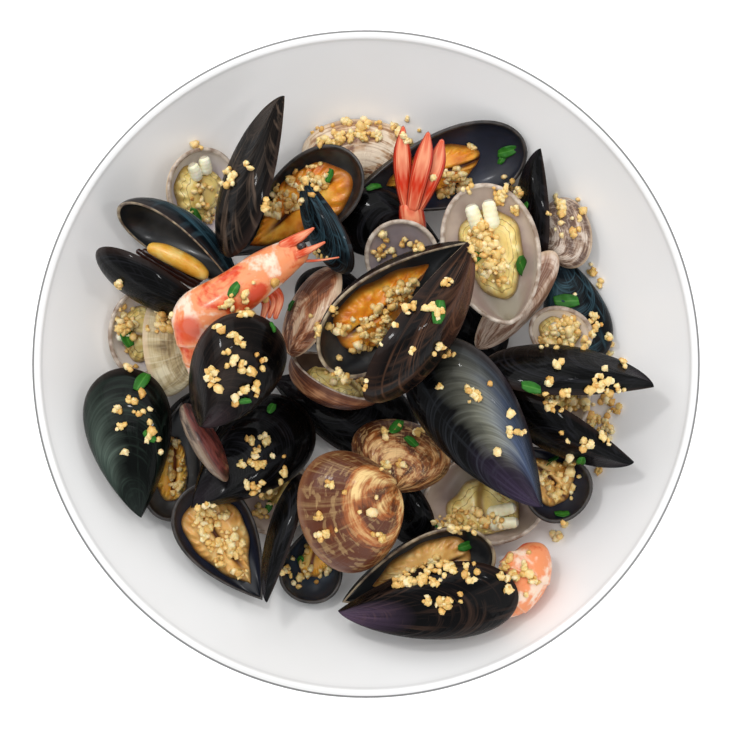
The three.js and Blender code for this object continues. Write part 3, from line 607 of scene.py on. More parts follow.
CLAM_RIBS = {
    "brown": ("#f4d08e", "#b0622a", "#5c2c12", 0.6, 0.2, 0.2, 0.2, (4.6, 3.4), 0.2, "#8a5c3c"),
    "netted": ("#e8be82", "#9c5a2a", "#502812", 0.55, 0.2, 0.1, 0.4, (6.0, 4.4), 0.2, "#8a5c3c"),
    "wine": ("#efd0ae", "#b0704a", "#683824", 0.7, 0.3, 0.04, 0.0, (7.0, 3.0), 0.25),
    "rust": ("#c08a62", "#7e4a30", "#45241a", 0.5, 0.2, 0.05, 0.0, (7.0, 4.0), 0.4, "#5e3a2c"),
    "olive": ("#e2d6b4", "#bda97e", "#7d6a4a", 0.4, 0.5, 0.0, 0.0, (14.0, 3.0), 0.2),
    "cream": ("#f0e7d6", "#dcc8a8", "#a57a54", 0.5, 0.4),
    "checked": ("#ead6bc", "#c39c74", "#80533a", 0.7, 0.3, 0.0, 0.5),
    "tan": ("#efdac8", "#c8a48c", "#8c624c", 0.6, 0.4, 0.0, 0.0, (12.0, 3.0), 0.3),
    "red": ("#6e332b", "#481a18", "#260e0e", 0.6, 0.2, 0.0, 0.0, (8.0, 6.5), 0.4, "#7c5a48"),
    "grey": ("#96826e", "#66554a", "#3c302a", 0.6, 0.5, 0.0, 0.0, (14.0, 3.0), 0.3, "#7c6856"),
    "mottled": ("#d9c8b8", "#a0846e", "#644a3c", 0.7, 0.3, 0.0, 0.3),
}
CLAM_OUTSIDES = {key: clam_ribs("clam_ribs_" + key, *look) for key, look in CLAM_RIBS.items()}

# %% A clam's inside
CLAM_NACRE = {
    "mauve": ("#8e8470", "#a28d85", "#c0afa2"),
    "lavender": ("#b3aab2", "#c4bcc2", "#ded6d0"),
    "smoke": ("#5c5456", "#8d8184", "#a39698"),
    "cream": ("#c9bcae", "#d6cabd", "#e8dfd4"),
    "deep": ("#5a443a", "#7c6252", "#5e463a"),
    "pink": ("#a99590", "#bba8a2", "#e2d8d0"),
}
CLAM_INSIDES = {key: shell_inside("clam_inside_" + key, *look) for key, look in CLAM_NACRE.items()}
CLAM_LIP = horn_lip("clam_lip", "#d2c4b4", "#8f7866")

# %% [markdown]
# ## Where every shell lies
# The heap was laid out on a plan seen from above: the umbo and the tip of each valve, its width, and how far it is
# pitched and rolled. Each valve then sits at the height that its solid was let down to, which the frame gives.

# %% The list of shells
PLAN_MM = 0.4036

# name, which starts with the form: (up, umbo, tip, width, pitch, roll, outside, inside), in units of the plan
# and degrees
SHELLS = {
    "clam_a": ("cup", (208, 238), (198, 147), 84, 8, 32, "cream", "lavender"),
    "clam_d": ("dome", (358, 196), (358, 117), 114, 16, 0, "checked", "cream"),
    "clam_o": ("cup", (180, 336), (107, 330), 88, 2, 0, "cream", "lavender"),
    "clam_w": ("cup", (298, 464), (248, 528), 78, 0, 0, "tan", "mauve"),
    "mussel_e": ("cup", (345, 203), (527, 144), 84, -6, 16, "black", "navy"),
    "mussel_f": ("dome", (440, 240), (338, 212), 72, 12, -16, "black", "grey"),
    "mussel_middle": ("dome", (318, 348), (334, 266), 70, 2, 0, "black", "grey"),
    "mussel_right": ("dome", (420, 300), (506, 352), 62, 0, 0, "black", "grey"),
    "mussel_left": ("dome", (224, 380), (172, 446), 52, -6, 0, "black", "grey"),
    "mussel_q_lower": ("cup", (181, 402), (167, 522), 62, 2, -6, "black", "grey"),
    "clam_p": ("dome", (188, 343), (143, 350), 100, 42, -4, "olive", "cream"),
    "mussel_u": ("cup", (262, 601), (188, 488), 80, 6, 5, "black", "navy"),
    "mussel_x": ("cup", (325, 518), (303, 604), 64, 8, 0, "blue", "slate"),
    "clam_aa": ("cup", (484, 452), (484, 547), 124, 0, 0, "tan", "mauve"),
    "mussel_gg": ("cup", (515, 446), (582, 512), 70, 0, 0, "black", "navy"),
    "clam_ff": ("cup", (512, 400), (592, 393), 86, 0, 0, "tan", "pink"),
    "mussel_hh": ("dome", (556, 250), (592, 364), 68, 8, -8, "blue", "navy"),
    "clam_ii": ("dome", (540, 240), (592, 226), 74, 10, -12, "mottled", "cream"),
    "mussel_jj": ("dome", (541, 148), (537, 264), 62, -15, 68, "black", "grey"),
    "clam_ll": ("dome", (476, 347), (556, 252), 62, 2, 50, "tan", "cream"),
    "clam_mm": ("cup", (554, 362), (567, 307), 66, -4, 6, "cream", "cream"),
    "mussel_c": ("cup", (232, 256), (358, 159), 82, 14, -10, "black", "grey"),
    "clam_i": ("cup", (402, 304), (402, 220), 76, 16, -8, "tan", "smoke"),
    "mussel_z": ("dome", (270, 380), (416, 440), 84, 2, -16, "black", "grey"),
    "mussel_k2": ("dome", (400, 470), (418, 546), 52, -5, 30, "black", "grey"),
    "mussel_q": ("dome", (141, 518), (120, 368), 90, 4, -10, "green_black", "grey"),
    "mussel_t": ("dome", (191, 508), (303, 408), 92, -20, -8, "black", "grey"),
    "mussel_v": ("dome", (267, 602), (301, 474), 48, -10, -66, "black", "grey"),
    "mussel_bb_back": ("cup", (342, 603), (494, 547), 78, 8, 20, "black", "grey"),
    "mussel_bb": ("dome", (338, 611), (518, 592), 86, 10, 28, "purple", "grey"),
    "mussel_n_lower": ("dome", (219, 315), (97, 251), 70, 2, -64, "black", "grey"),
    "mussel_n": ("cup", (236, 288), (119, 206), 76, 4, -60, "blue", "grey"),
    "clam_l_lower": ("cup", (292, 354), (384, 395), 90, 4, -68, "rust", "deep"),
    "clam_l": ("dome", (293, 357), (336, 267), 74, 0, -60, "wine", "cream"),
    "mussel_h": ("dome", (306, 178), (349, 274), 58, -2, 60, "blue", "grey"),
    "mussel_b": ("dome", (285, 97), (228, 258), 78, 2, 60, "brown", "grey"),
    "mussel_ee_lower": ("dome", (634, 462), (496, 394), 74, 2, -62, "black", "grey"),
    "mussel_ee": ("dome", (653, 387), (480, 368), 82, 2, 62, "black", "grey"),
    "clam_s": ("closed", (184, 404), (227, 481), 50, 6, -78, "red", "grey"),
    "clam_y_right": ("dome", (393, 492), (408, 422), 102, -22, 5, "netted", "cream"),
    "clam_kk": ("cup", (510, 325), (474, 185), 98, -3, -3, "tan", "mauve"),
    "mussel_dd": ("dome", (542, 506), (420, 343), 104, 5, -26, "grey_blue", "grey"),
    "clam_y": ("dome", (394, 484), (304, 534), 130, 18, -20, "brown", "cream"),
    "mussel_r": ("closed", (201, 426), (265, 318), 98, 6, 34, "dusk", "dusk"),
    "mussel_j_back": ("cup", (466, 243), (324, 366), 94, 6, -28, "black", "grey"),
    "mussel_j": ("dome", (466, 243), (366, 400), 92, 4, -66, "umber", "grey"),
}

# %% Shells put in their places
# DEEP valves are deeper than their form's share of the width, and the shells that show most get a FINE_GRID
DEEP = {"mussel_n": 0.42, "clam_l_lower": 0.34, "mussel_j": 0.42}
FINE = {"mussel_dd", "mussel_j", "mussel_j_back", "mussel_bb", "mussel_q", "mussel_r", "mussel_b", "clam_y",
        "clam_y_right", "clam_l", "clam_kk", "mussel_ee"}
FINE_GRID, PLAIN_GRID = (110, 100), (56, 64)


def on_plan(px, py):
    """Plan units to mm: x to the right and y to the back, both from the bowl's middle."""
    return np.array([(px - BOWL_MIDDLE[0]) * PLAN_MM, (BOWL_MIDDLE[1] - py) * PLAN_MM])


def turned_to(heading, pitch=0.0, roll=0.0):
    """Turn by roll about the shell's length, then by pitch about its width, then to its heading on the plan."""
    (cr, cp, ch), (sr, sp, sh) = np.cos([roll, pitch, heading]), np.sin([roll, pitch, heading])
    about_x = np.array([[1, 0, 0], [0, cr, -sr], [0, sr, cr]])
    about_y = np.array([[cp, 0, -sp], [0, 1, 0], [sp, 0, cp]])
    about_z = np.array([[ch, -sh, 0], [sh, ch, 0], [0, 0, 1]])
    return about_z @ about_y @ about_x


def form_of(name):
    """A shell's name starts with its form."""
    return name.split("_")[0]


def shell_of(name):
    """The valve's own sizes in mm: its plan length is what the pitch leaves of its true length."""
    up, umbo, tip, width, pitch = SHELLS[name][:5]
    shape = SHAPES[form_of(name)]
    length = np.hypot(*(on_plan(*tip) - on_plan(*umbo))) / np.cos(np.radians(pitch))
    return shape | {"length": length, "width": width * PLAN_MM, "depth": DEEP.get(name, shape["depth"])}


def in_bowl(name, points, faces):
    """Takes a mesh from the valve's own axes to the bowl's, without its height. A cup is a dome's mirror image, so
    its faces are flipped."""
    up, umbo, tip, width, pitch, roll = SHELLS[name][:6]
    start, end = on_plan(*umbo), on_plan(*tip)
    turn = turned_to(np.arctan2(*(end - start)[::-1]), np.radians(pitch), np.radians(roll))
    cup = up == "cup"
    return (points * [1, 1, -1 if cup else 1]) @ turn.T + [*start, 0], flipped(faces) if cup else faces


def low_z(name):
    """The lowest point of the solid that a piece stands for."""
    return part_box(name)[0][2] / MM


HEAP_TOP = cad_box[1][2] / MM - 0.1
lift_of = {}
seed_of = {name: k * 1.7 for k, name in enumerate(SHELLS)}


def finishes_of(name):
    """The finishes of the outside, of the inside, or of a closed pair's lower valve, and of the lip."""
    up, *_, outside, inside = SHELLS[name]
    if form_of(name) == "mussel":
        lip = MUSSEL_LIP_PALE_HIGHLIT if name in PALE_HIGHLIT_LIPPED else MUSSEL_LIP
        return [MUSSEL_OUTSIDES[outside], (MUSSEL_OUTSIDES if up == "closed" else MUSSEL_INSIDES)[inside], lip]
    return [CLAM_OUTSIDES[outside], (CLAM_OUTSIDES if up == "closed" else CLAM_INSIDES)[inside], CLAM_LIP]


def lay_shell(name):
    """Makes a valve, or a closed pair, as high as its solid was let down to, but under the top of the heap."""
    build = closed_mesh if SHELLS[name][0] == "closed" else valve_mesh
    points, faces, finish, marks = build(shell_of(name), *(FINE_GRID if name in FINE else PLAIN_GRID),
                                         int(10 * seed_of[name]))
    placed, faces = in_bowl(name, points, faces)
    lift_of[name] = min(low_z(name) - placed[:, 2].min(), HEAP_TOP - placed[:, 2].max())
    seeds = np.full(len(points), seed_of[name])
    return make_piece(name + "_valve", placed + [0, 0, lift_of[name]], faces, finishes_of(name), finish,
                      {"shell": marks, "seed": seeds}, node=name)


valves = [lay_shell(name) for name in SHELLS]
print(len(valves), "valves,", sum(len(valve.data.vertices) for valve in valves), "points")

# %% [markdown]
# ## Cooked meat
# The meat shrinks from the rim as it cooks and plumps up in the middle. A mussel's is orange, split by a dark slit
# between two lobes, with a ruffled mantle edge. A clam's is cream, with a wider frill and two short siphons.
# It is a cushion drawn ring by ring round its middle: each ring is the rim's own outline, made smaller.

# %% Meat finishes
def soft_flesh(name, colours, slit, rim, redness=0.12, folds=0.0):
    """Moist protein: a cloudy body colour, darker in the slit and at the edge, with light going a little way in.
    folds draws the shadows between layers of the mantle, as wavy lines that follow the edge."""
    finish, tree = new_finish(name, 0.36, IOR=1.4, Subsurface_Weight=0.22, Subsurface_Scale=0.004,
                              Subsurface_Radius=(1.0, 0.45 - redness, 0.3 - redness), Coat_Weight=0.35,
                              Coat_Roughness=0.2)
    where = add(tree, "TexCoord", out="Object")
    cloud = add(tree, "TexNoise", {"Vector": where, "Scale": 170.0, "Detail": 4.0})
    body = add(tree, "ValToRGB", [cloud], stops=list(zip((0.3, 0.5, 0.7), colours)))
    outward, groove = numbers_of(tree, "flesh")[:2]
    layers = [(add(tree, "MapRange", [outward, 0.84, 1.0, 0.0, 0.85]), rim)]
    if folds:
        line_at = add(tree, "Math", [cloud, 0.3, outward], operation="MULTIPLY_ADD")
        wave = add(tree, "Math", [line_at, 40.0], operation="MULTIPLY")
        wave = add(tree, "Math", [wave], operation="SINE")
        line = add(tree, "MapRange", [wave, 0.8, 0.97, 0.0, folds])
        outer = add(tree, "MapRange", [outward, 0.5, 0.62, 0.0, 1.0])
        layers.append((add(tree, "Math", [line, outer], operation="MULTIPLY"), rim))
    return dressed(finish, body, [*layers, (groove, slit)], cloud, 0.5, 0.8)


MUSSEL_MEAT = soft_flesh("mussel_meat_orange", ("#d67518", "#f29a28", "#fec24a"), "#4a1c08", "#8a4a16")
MUSSEL_MEAT_TAN = soft_flesh("mussel_meat_tan", ("#c98c40", "#e6b264", "#f4d08c"), "#54280f", "#8a5a26")
MUSSEL_MEAT_GOLD = soft_flesh("mussel_meat_gold", ("#eba02c", "#f9bd4e", "#fdd680"), "#7a3a0c", "#96521a")
MUSSEL_FRILL = soft_flesh("mussel_mantle_frill", ("#2c130c", "#472216", "#6a3a24"), "#2a120c", "#2a120c")
CLAM_MEAT = soft_flesh("clam_meat_cream", ("#d2b25e", "#ead07e", "#f6e6aa"), "#8c6c30", "#8f7238", 0.05, 0.75)
SIPHON = soft_flesh("clam_siphon", ("#e6dcae", "#f5eecb", "#fdfae6"), "#6d6467", "#9a8f86", 0.05)

# %% A cushion of meat
MEAT_ROWS, MEAT_COLUMNS = 30, 132


def even_loop(shell, count):
    """Shares of the rim at equal steps along it, found by adding up the lengths of short pieces."""
    tau = np.linspace(0, np.pi, 600)
    x, y = rim_line(shell, tau)
    run = np.append(0, np.cumsum(np.hypot(np.diff(x), np.diff(y))))
    return np.interp(np.arange(count) / count * run[-1], run, tau)


def top_and_below(top, below):
    """The rings of the top from the middle outwards, then those of the underside back to the middle."""
    return np.vstack([top, below[::-1]]).ravel()


def cushion_mesh(shell, seed, size=0.86, middle=0.56, fill=0.78, crown=1.0, frills=22, frill=0.8, slit=1.8,
                 lobes=0.5):
    """r goes from the middle (0) to the edge (1). The top leaves the valve's wall at the edge, swells by
    the square root of one minus r cubed, waves near the edge and is cut by a groove along the middle line.
    The flesh attribute is (r, depth of the groove, 0)."""
    phase = np.random.default_rng(seed).uniform(0, 2 * np.pi, 4)
    turn = 2 * np.pi * np.arange(MEAT_COLUMNS) / MEAT_COLUMNS
    centre = np.array([middle * shell["length"], 0])
    outline = np.stack(rim_line(shell, even_loop(shell, MEAT_COLUMNS)), -1) - centre
    wander = size + 0.03 * np.sin(3 * turn + phase[0]) + 0.02 * np.sin(7 * turn + phase[1])
    r = (np.arange(1, MEAT_ROWS + 1) / MEAT_ROWS)[:, None]
    x, y = np.moveaxis(centre + r[..., None] * (wander[:, None] * outline), -1, 0)
    along, across = x / shell["length"], y / shell["width"]
    wall = hollow(shell, x, y)
    swell = np.sqrt(1 - r**3)
    wave = np.cos(frills * turn + 1.5 * np.sin(3 * turn + phase[2])) * np.exp(-(((r - 0.84) / 0.1) ** 2))
    reach = np.clip((along - 0.2) * 6, 0, 1) * np.clip((0.86 - along) * 8, 0, 1)
    bend = 0.03 * np.sin(7 * along + phase[3])
    groove = reach * np.exp(-(((across - bend) / 0.035) ** 2))
    lump = np.cos(2 * np.pi * across / 0.3 + phase[3]) * (1 - r**2)
    top = wall * (1 - fill * swell) - crown * swell - frill * wave - lobes * lump + slit * groove
    top = np.minimum(top, wall)
    below = wall + 0.4 * shell["wall"]
    points = np.stack([top_and_below(x, x), top_and_below(y, y), top_and_below(top, below)], -1)
    ring = top_and_below(r + 0 * x, r + 0 * x)
    flesh = np.stack([ring, top_and_below(np.clip(groove * 1.2, 0, 1), 0 * x), 0 * ring], -1)
    hearts = [[*centre, top[0].mean()], [*centre, below[0].mean()]]
    faces = flipped(capped(2 * MEAT_ROWS, MEAT_COLUMNS))
    return np.vstack([points, hearts]), faces, np.vstack([flesh, np.zeros((2, 3))])

# %% Meat in the valves
MUSSEL_MEATS = {
    "mussel_e": (MUSSEL_MEAT, dict(size=0.52, middle=0.46)),
    "mussel_c": (MUSSEL_MEAT, dict(size=0.76, middle=0.45)),
    "mussel_u": (MUSSEL_MEAT_TAN, dict(size=0.74, middle=0.52)),
    "mussel_x": (MUSSEL_MEAT_GOLD, dict(size=0.46, slit=0.6, middle=0.4)),
    "mussel_gg": (MUSSEL_MEAT_TAN, dict(size=0.62, middle=0.45)),
    "mussel_q_lower": (MUSSEL_MEAT_GOLD, dict(size=0.54, middle=0.62)),
    "mussel_bb_back": (MUSSEL_MEAT_TAN, dict(size=0.64, middle=0.56)),
    "mussel_j_back": (MUSSEL_MEAT, dict(size=0.62, middle=0.62, slit=2.6, lobes=0.9)),
}
# name: (size, middle)
CLAM_CUSHIONS = {"clam_a": (0.64, 0.5), "clam_o": (0.64, 0.5), "clam_w": (0.4, 0.34), "clam_aa": (0.6, 0.72),
                 "clam_ff": (0.64, 0.5), "clam_mm": (0.64, 0.5), "clam_kk": (0.64, 0.54),
                 "clam_l_lower": (0.64, 0.5)}
CLAM_CUSHION = dict(frills=17, frill=0.9, slit=0.5, lobes=0.7, crown=1.5)
CLAM_MEATS = {name: (CLAM_MEAT, CLAM_CUSHION | dict(size=size, middle=middle))
              for name, (size, middle) in CLAM_CUSHIONS.items()}


def lay_soft(name, part, finish, points, faces, flesh):
    """Puts a soft piece, made in a valve's own axes, into that valve."""
    placed, faces = in_bowl(name, points, faces)
    return make_piece(name + part, placed + [0, 0, lift_of[name]], faces, [finish], attributes={"flesh": flesh})


meats = [lay_soft(name, "_meat", finish, *cushion_mesh(shell_of(name), int(7 * seed_of[name]) + 3, **choices))
         for name, (finish, choices) in (MUSSEL_MEATS | CLAM_MEATS).items()]
print(len(meats), "cushions of meat")

# %% [markdown]
# ## Tubes along a path
# Siphons, a prawn's body, its legs and its feelers are all an ellipse carried along a path. The path is a smooth
# curve through a few stations, each with its own half width and half height, and both ends are rounded off.

# %% Loft
def loft(stations, count, sides, swell=None):
    """Points are middle + width cos a across + height sin a up, where across is level and up stands on the path.
    Both sizes fall to nought at the ends like a circle's edge. swell(share along, a) makes them larger. The marks
    are (share along, sin a, 0)."""
    path = spline(stations, count)
    middle = path[:, :3]
    along = np.gradient(middle, axis=0)
    along /= np.linalg.norm(along, axis=1, keepdims=True)
    across = np.cross([0, 0, 1], along)
    across /= np.linalg.norm(across, axis=1, keepdims=True)
    up = np.cross(along, across)
    run = np.append(0, np.cumsum(np.linalg.norm(np.diff(middle, axis=0), axis=1)))
    ends = [np.clip(1 - gone / max(path[end, 3:].mean(), 1e-3), 0, 1)
            for gone, end in ((run, 0), (run[-1] - run, -1))]
    cap = np.sqrt(1 - ends[0] ** 2) * np.sqrt(1 - ends[1] ** 2)
    angle = 2 * np.pi * np.arange(sides) / sides
    share = run / run[-1]
    size = cap[:, None] * (1 + (0 if swell is None else swell(share[:, None], angle[None, :])))
    wide = (path[:, 3:4] * np.cos(angle) * size)[..., None] * across[:, None]
    high = (path[:, 4:5] * np.sin(angle) * size)[..., None] * up[:, None]
    rings = (middle[:, None] + wide + high)[1:-1].reshape(-1, 3)
    marks = np.stack([np.repeat(share, sides), np.tile(np.sin(angle), count), np.zeros(count * sides)], -1)
    marks = np.vstack([marks[sides:-sides], marks[[0, -1]]])
    return np.vstack([rings, middle[[0, -1]]]), capped(count - 2, sides), marks


def on_heap(stations):
    """Plan stations to mm: x and y by the plan, z in mm already, both half sizes in plan units."""
    return [(*on_plan(px, py), z, wide * PLAN_MM, high * PLAN_MM) for px, py, z, wide, high in stations]

# %% Siphons
# share along, height over the valve's inside as a share of its depth there
SIPHON_PATH = [(-0.5, 0.35), (0, 0.12), (0.5, -0.02), (1, -0.08)]


def siphon_tube(start, high, ahead, side, long, thick):
    """One tube: it runs ahead, spreads a fifth of its half width to its side and tapers by an eighth."""
    beside = np.array([-ahead[1], ahead[0]])
    stations = [(*(start + long * t * ahead + side * thick * (1 + 0.2 * t) * beside), high * z - 0.5,
                 thick * (1 - 0.12 * t), thick * (1 - 0.12 * t)) for t, z in SIPHON_PATH]
    return loft(stations, 26, 18, lambda t, a: 0.03 * np.sin(40 * t) + 0.1 * (t > 0.93))


def lay_siphons(name, root=(0.74, 0.0), aim=0.0, long=8.0, thick=2.6):
    """Two short tubes side by side. root is a share of the valve's length and width, aim turns them from the
    valve's own length, in degrees, long is in mm and thick is the half width in mm."""
    shell = shell_of(name)
    start = np.array(root) * [shell["length"], shell["width"]]
    high = hollow(shell, *start[:, None])[0]
    ahead = np.array([np.cos(np.radians(aim)), np.sin(np.radians(aim))])
    points, faces, marks = joined([siphon_tube(start, high, ahead, side, long, thick) for side in (-1, 1)])
    flesh = np.where(marks[:, :1] > 0.9, 0.97, 0.3) * [1, 0, 0]
    return lay_soft(name, "_siphons", SIPHON, points, faces, flesh)


siphons = [lay_siphons("clam_kk", thick=3.1), lay_siphons("clam_a", aim=20, long=5.5),
           lay_siphons("clam_aa", (0.7, 0.12), 100), lay_siphons("clam_o", long=4.5, thick=2.0),
           lay_siphons("clam_mm", (0.58, 0.0), 30, 4.0, 2.0)]
print(len(siphons), "pairs of siphons")

# %% [markdown]
# ## Prawns
# A prawn boiled in its shell turns orange-pink, white where the flesh shows through, with the red gathered in
# patches. The rings overlap like roof tiles towards the tail, so the body's size drops at each ring.

# %% Prawn finishes
def boiled_shell(name, pale, body, red):
    """Thin chitin over white flesh: red in clouds and where the blush attribute is high, and pale along the edges
    of the rings, which the third mark gives."""
    finish, tree = new_finish(name, 0.3, IOR=1.45, Subsurface_Weight=0.12, Subsurface_Scale=0.003,
                              Coat_Weight=0.25, Coat_Roughness=0.15, Specular_IOR_Level=0.35)
    where = add(tree, "TexCoord", out="Object")
    cloud = add(tree, "TexNoise", {"Vector": where, "Scale": 62.0, "Detail": 4.0, "Distortion": 0.8})
    fleck = add(tree, "TexNoise", {"Vector": where, "Scale": 420.0, "Detail": 2.0})
    mixed = add(tree, "Math", [fleck, 0.2, cloud], operation="MULTIPLY_ADD")
    tone = add(tree, "ValToRGB", [mixed], stops=[(0.44, red), (0.54, body), (0.61, body), (0.7, pale)])
    band = add(tree, "MapRange", [numbers_of(tree, "flesh")[2], 0.0, 0.35, 0.6, 0.0])
    blush = add(tree, "Attribute", out="Fac", attribute_name="blush")
    return dressed(finish, tone, [(band, pale), (blush, red)], fleck, 0.3, 0.4)


def streaked_chitin(name, pale, red, edge=None):
    """Red and pale lines that run along the piece: noise stretched by the share along, fine round the section.
    edge is a darker colour painted on the sides and the underside, as the shade between the blades."""
    finish, tree = new_finish(name, 0.32, IOR=1.45, Coat_Weight=0.2, Coat_Roughness=0.15, Specular_IOR_Level=0.3)
    mark = add(tree, "Attribute", out="Vector", attribute_name="flesh")
    line = add(tree, "VectorMath", [mark, (2.0, 3.5, 3.5)], operation="MULTIPLY")
    streaks = add(tree, "TexNoise", {"Vector": line, "Scale": 1.0, "Detail": 2.0})
    tone = add(tree, "ValToRGB", [streaks], stops=[(0.42, red), (0.64, pale)])
    # painted shade: the edge colour darkens the sides and the underside
    layers = [(add(tree, "MapRange", [numbers_of(tree, "flesh")[1], 0.55, 0.15, 0.0, 0.9]), edge)] if edge else []
    return dressed(finish, tone, layers, streaks, 0.4, 0.4)


PRAWN_SHELL = boiled_shell("prawn_shell_boiled", "#f9dbc3", "#f09562", "#d84312")
PRAWN_RED = streaked_chitin("prawn_red_chitin", "#f8a67e", "#d94a24")
# the tail's darker edge colour is painted shade between the blades
PRAWN_TAIL_RED = streaked_chitin("prawn_tail_red_chitin", "#fba47c", "#d8330f", "#9c1a0a")
PRAWN_EYE_BLACK, tree = new_finish("prawn_eye", 0.15, Coat_Weight=0.6)
spots = add(tree, "TexNoise", {"Vector": add(tree, "TexCoord", out="Object"), "Scale": 600.0})
dressed(PRAWN_EYE_BLACK, add(tree, "ValToRGB", [spots], stops=[(0.4, "#120a0a"), (0.7, "#2c1a16")]))

# %% Where the prawns lie
# each station: plan x, plan y, height in mm, half width, half height
PRAWN_BODY = [(198, 380, 0, 6, 6), (200, 366, 1, 14, 13), (201, 349, 2.5, 20, 18), (200, 331, 3.5, 25, 22),
              (203, 318, 4.5, 29, 24), (222, 304, 5, 26, 24), (241, 290, 5.2, 23, 22), (267, 271, 5.5, 21, 18),
              (291, 256, 6.5, 16, 13), (309, 249, 7.5, 9, 8)]
PRAWN_THIN = [
    [(292, 258, 9, 5, 3), (310, 251, 13, 3.4, 2.6), (326, 243, 16, 1.0, 1.0)],
    [(280, 249, 9, 6, 3), (299, 239, 12, 5, 2.6), (315, 229, 16, 1.0, 1.0)],
    [(300, 262, 5.5, 1.8, 1.6), (320, 261, 6.4, 1.2, 1.2), (340, 258, 7, 0.7, 0.7)],
    [(256, 290, 0, 5, 3), (266, 303, -2.6, 4.4, 3), (262, 322, -4, 2.4, 2)],
    [(268, 282, 1.5, 5, 3), (280, 298, -1.4, 4.4, 3), (275, 320, -3, 2.4, 2)],
    [(262, 286, 0.8, 4, 3), (274, 300, -2, 3.6, 2.6), (269, 319, -3.4, 2, 2)],
]
PRAWN_EYE = [(297.5, 249, 10.6, 4.6, 4.6), (302, 247, 11, 4.6, 4.6), (306.5, 245, 11.4, 4.6, 4.6)]
PRAWN_PIECE = [(489, 612, 0, 9, 8), (500, 604, 0.6, 18, 16), (515, 590, 1.2, 25, 22), (526, 570, 1.2, 26, 22),
               (529, 553, 0.6, 21, 17), (527, 543, 0, 12, 9)]
TAIL_STEM = [(416, 240, -9, 11, 10), (413, 224, -4, 13, 12), (411, 208, 0, 12, 10), (412, 200, 1.5, 8, 7)]
TAIL_BLADES = [
    [(409, 212, 0, 6, 4), (404, 184, 6, 8, 3), (402, 154, 11.4, 8, 2.6), (403, 127, 16, 1.2, 1.2)],
    [(412, 212, 2, 6, 4), (418, 182, 9, 8.4, 3), (424, 157, 14, 8.4, 2.6), (428, 133, 18, 1.4, 1.4)],
    [(415, 212, 0, 6, 4), (427, 186, 5.6, 8.6, 3), (436, 163, 10, 8.6, 2.4), (442, 140, 14, 1.6, 1.4)],
]
LOOSE_MEAT = [(208, 278, 0, 5, 5), (196, 269, 0.6, 8.6, 8), (180, 260, 1, 9.4, 9), (163, 252, 0.6, 8.6, 8),
              (147, 247, 0, 5, 5)]
LOOSE_FRILLS = [[(203 - k, 281 + k, -1.4 - 0.3 * k, 3, 3), (189 - k, 272 + k, -1 - 0.3 * k, 4.6, 4),
                 (163 - k, 257 + k, -1 - 0.3 * k, 4.6, 4), (148 - 2 * k, 250, -1.4 - 0.3 * k, 3, 3)]
                for k in (0, 3, 6)]

# %% Rings and red patches
# a place and a radius on the plan
BLUSH = [((190, 330), 16), ((232, 306), 9), ((216, 344), 6)]
BLUSH_SLOPE, BLUSH_MOST = 2.5, 0.85
RING_STEP, RING_FADE = 0.07, 0.05


def since_ring(t, shares):
    """How far t is past the nearest ring's edge before it, or 1 where there is none."""
    return np.min([np.where(t >= edge, t - edge, 1) for edge in shares], axis=0)


def ringed_loft(stations, count, shares):
    """A loft with overlapping rings: it steps up at each share along, and the step fades over the ring. The third
    mark grows from nought at each ring's edge."""
    points, faces, marks = loft(on_heap(stations), count, 48,
                                lambda t, a: RING_STEP * np.exp(-since_ring(t, shares) / RING_FADE))
    marks[:, 2] = np.clip(since_ring(marks[:, 0], shares) * 14, 0, 1)
    return points, faces, marks


def blush_at(points):
    """Red patches: one minus distance over radius, the highest of all patches, made steeper."""
    shares = [1 - np.hypot(*(points[:, :2] - on_plan(*place)).T) / (radius * PLAN_MM) for place, radius in BLUSH]
    return np.clip(BLUSH_SLOPE * np.max(shares, axis=0), 0, BLUSH_MOST)


def lay_tubes(name, groups, node):
    """groups: (label, finish, lofts). All groups sit on one height, so that the lowest point is the node's. The
    first of them stands for the node."""
    whole = [joined(parts) for label, finish, parts in groups]
    lift = low_z(node) - min(points[:, 2].min() for points, faces, marks in whole)
    for (label, finish, parts), (points, faces, marks) in zip(groups, whole):
        make_piece(name + "_" + label, points + [0, 0, lift], faces, [finish],
                   attributes={"flesh": marks, "blush": blush_at(points)}, node=node)
        node = None

# %% The prawns
thin = [loft(on_heap(stations), 30, 12) for stations in PRAWN_THIN]
lay_tubes("prawn", [("body", PRAWN_SHELL, [ringed_loft(PRAWN_BODY, 120, (0.0, 0.08, 0.185))]),
                    ("limbs", PRAWN_RED, thin), ("eye", PRAWN_EYE_BLACK, [loft(on_heap(PRAWN_EYE), 16, 16)])],
          "prawn")
lay_tubes("prawn_piece", [("body", PRAWN_SHELL, [ringed_loft(PRAWN_PIECE, 90, (0.0, 0.3, 0.62))])], "prawn_piece")
stem = loft(on_heap(TAIL_STEM), 40, 32)
blades = [loft(on_heap(stations), 40, 20, lambda t, a: 0.1 * np.cos(6 * a)) for stations in TAIL_BLADES]
lay_tubes("prawn_tail", [("fan", PRAWN_TAIL_RED, [stem, *blades])], "prawn_tail")

# %% The loose meat
points, faces, marks = loft(on_heap(LOOSE_MEAT), 60, 36)
ruffles = [loft(on_heap(frill), 90, 16, lambda t, a, k=k: 0.05 * np.sin(34 * t + 2 * k))
           for k, frill in enumerate(LOOSE_FRILLS)]
lay_tubes("mussel_n", [("meat", MUSSEL_MEAT_GOLD, [(points, faces, 0 * marks)]), ("frill", MUSSEL_FRILL, ruffles)],
          "mussel_n_meat")
print("prawn, prawn piece, tail and loose meat laid")

# %% [markdown]
# ## Fried garlic
# Minced garlic fried to gold: round grains two to three mm across, many stuck together in clumps. Each grain is a
# small ball of a few dozen faces, its size waved by three sines. Every one is let fall straight down on the heap.

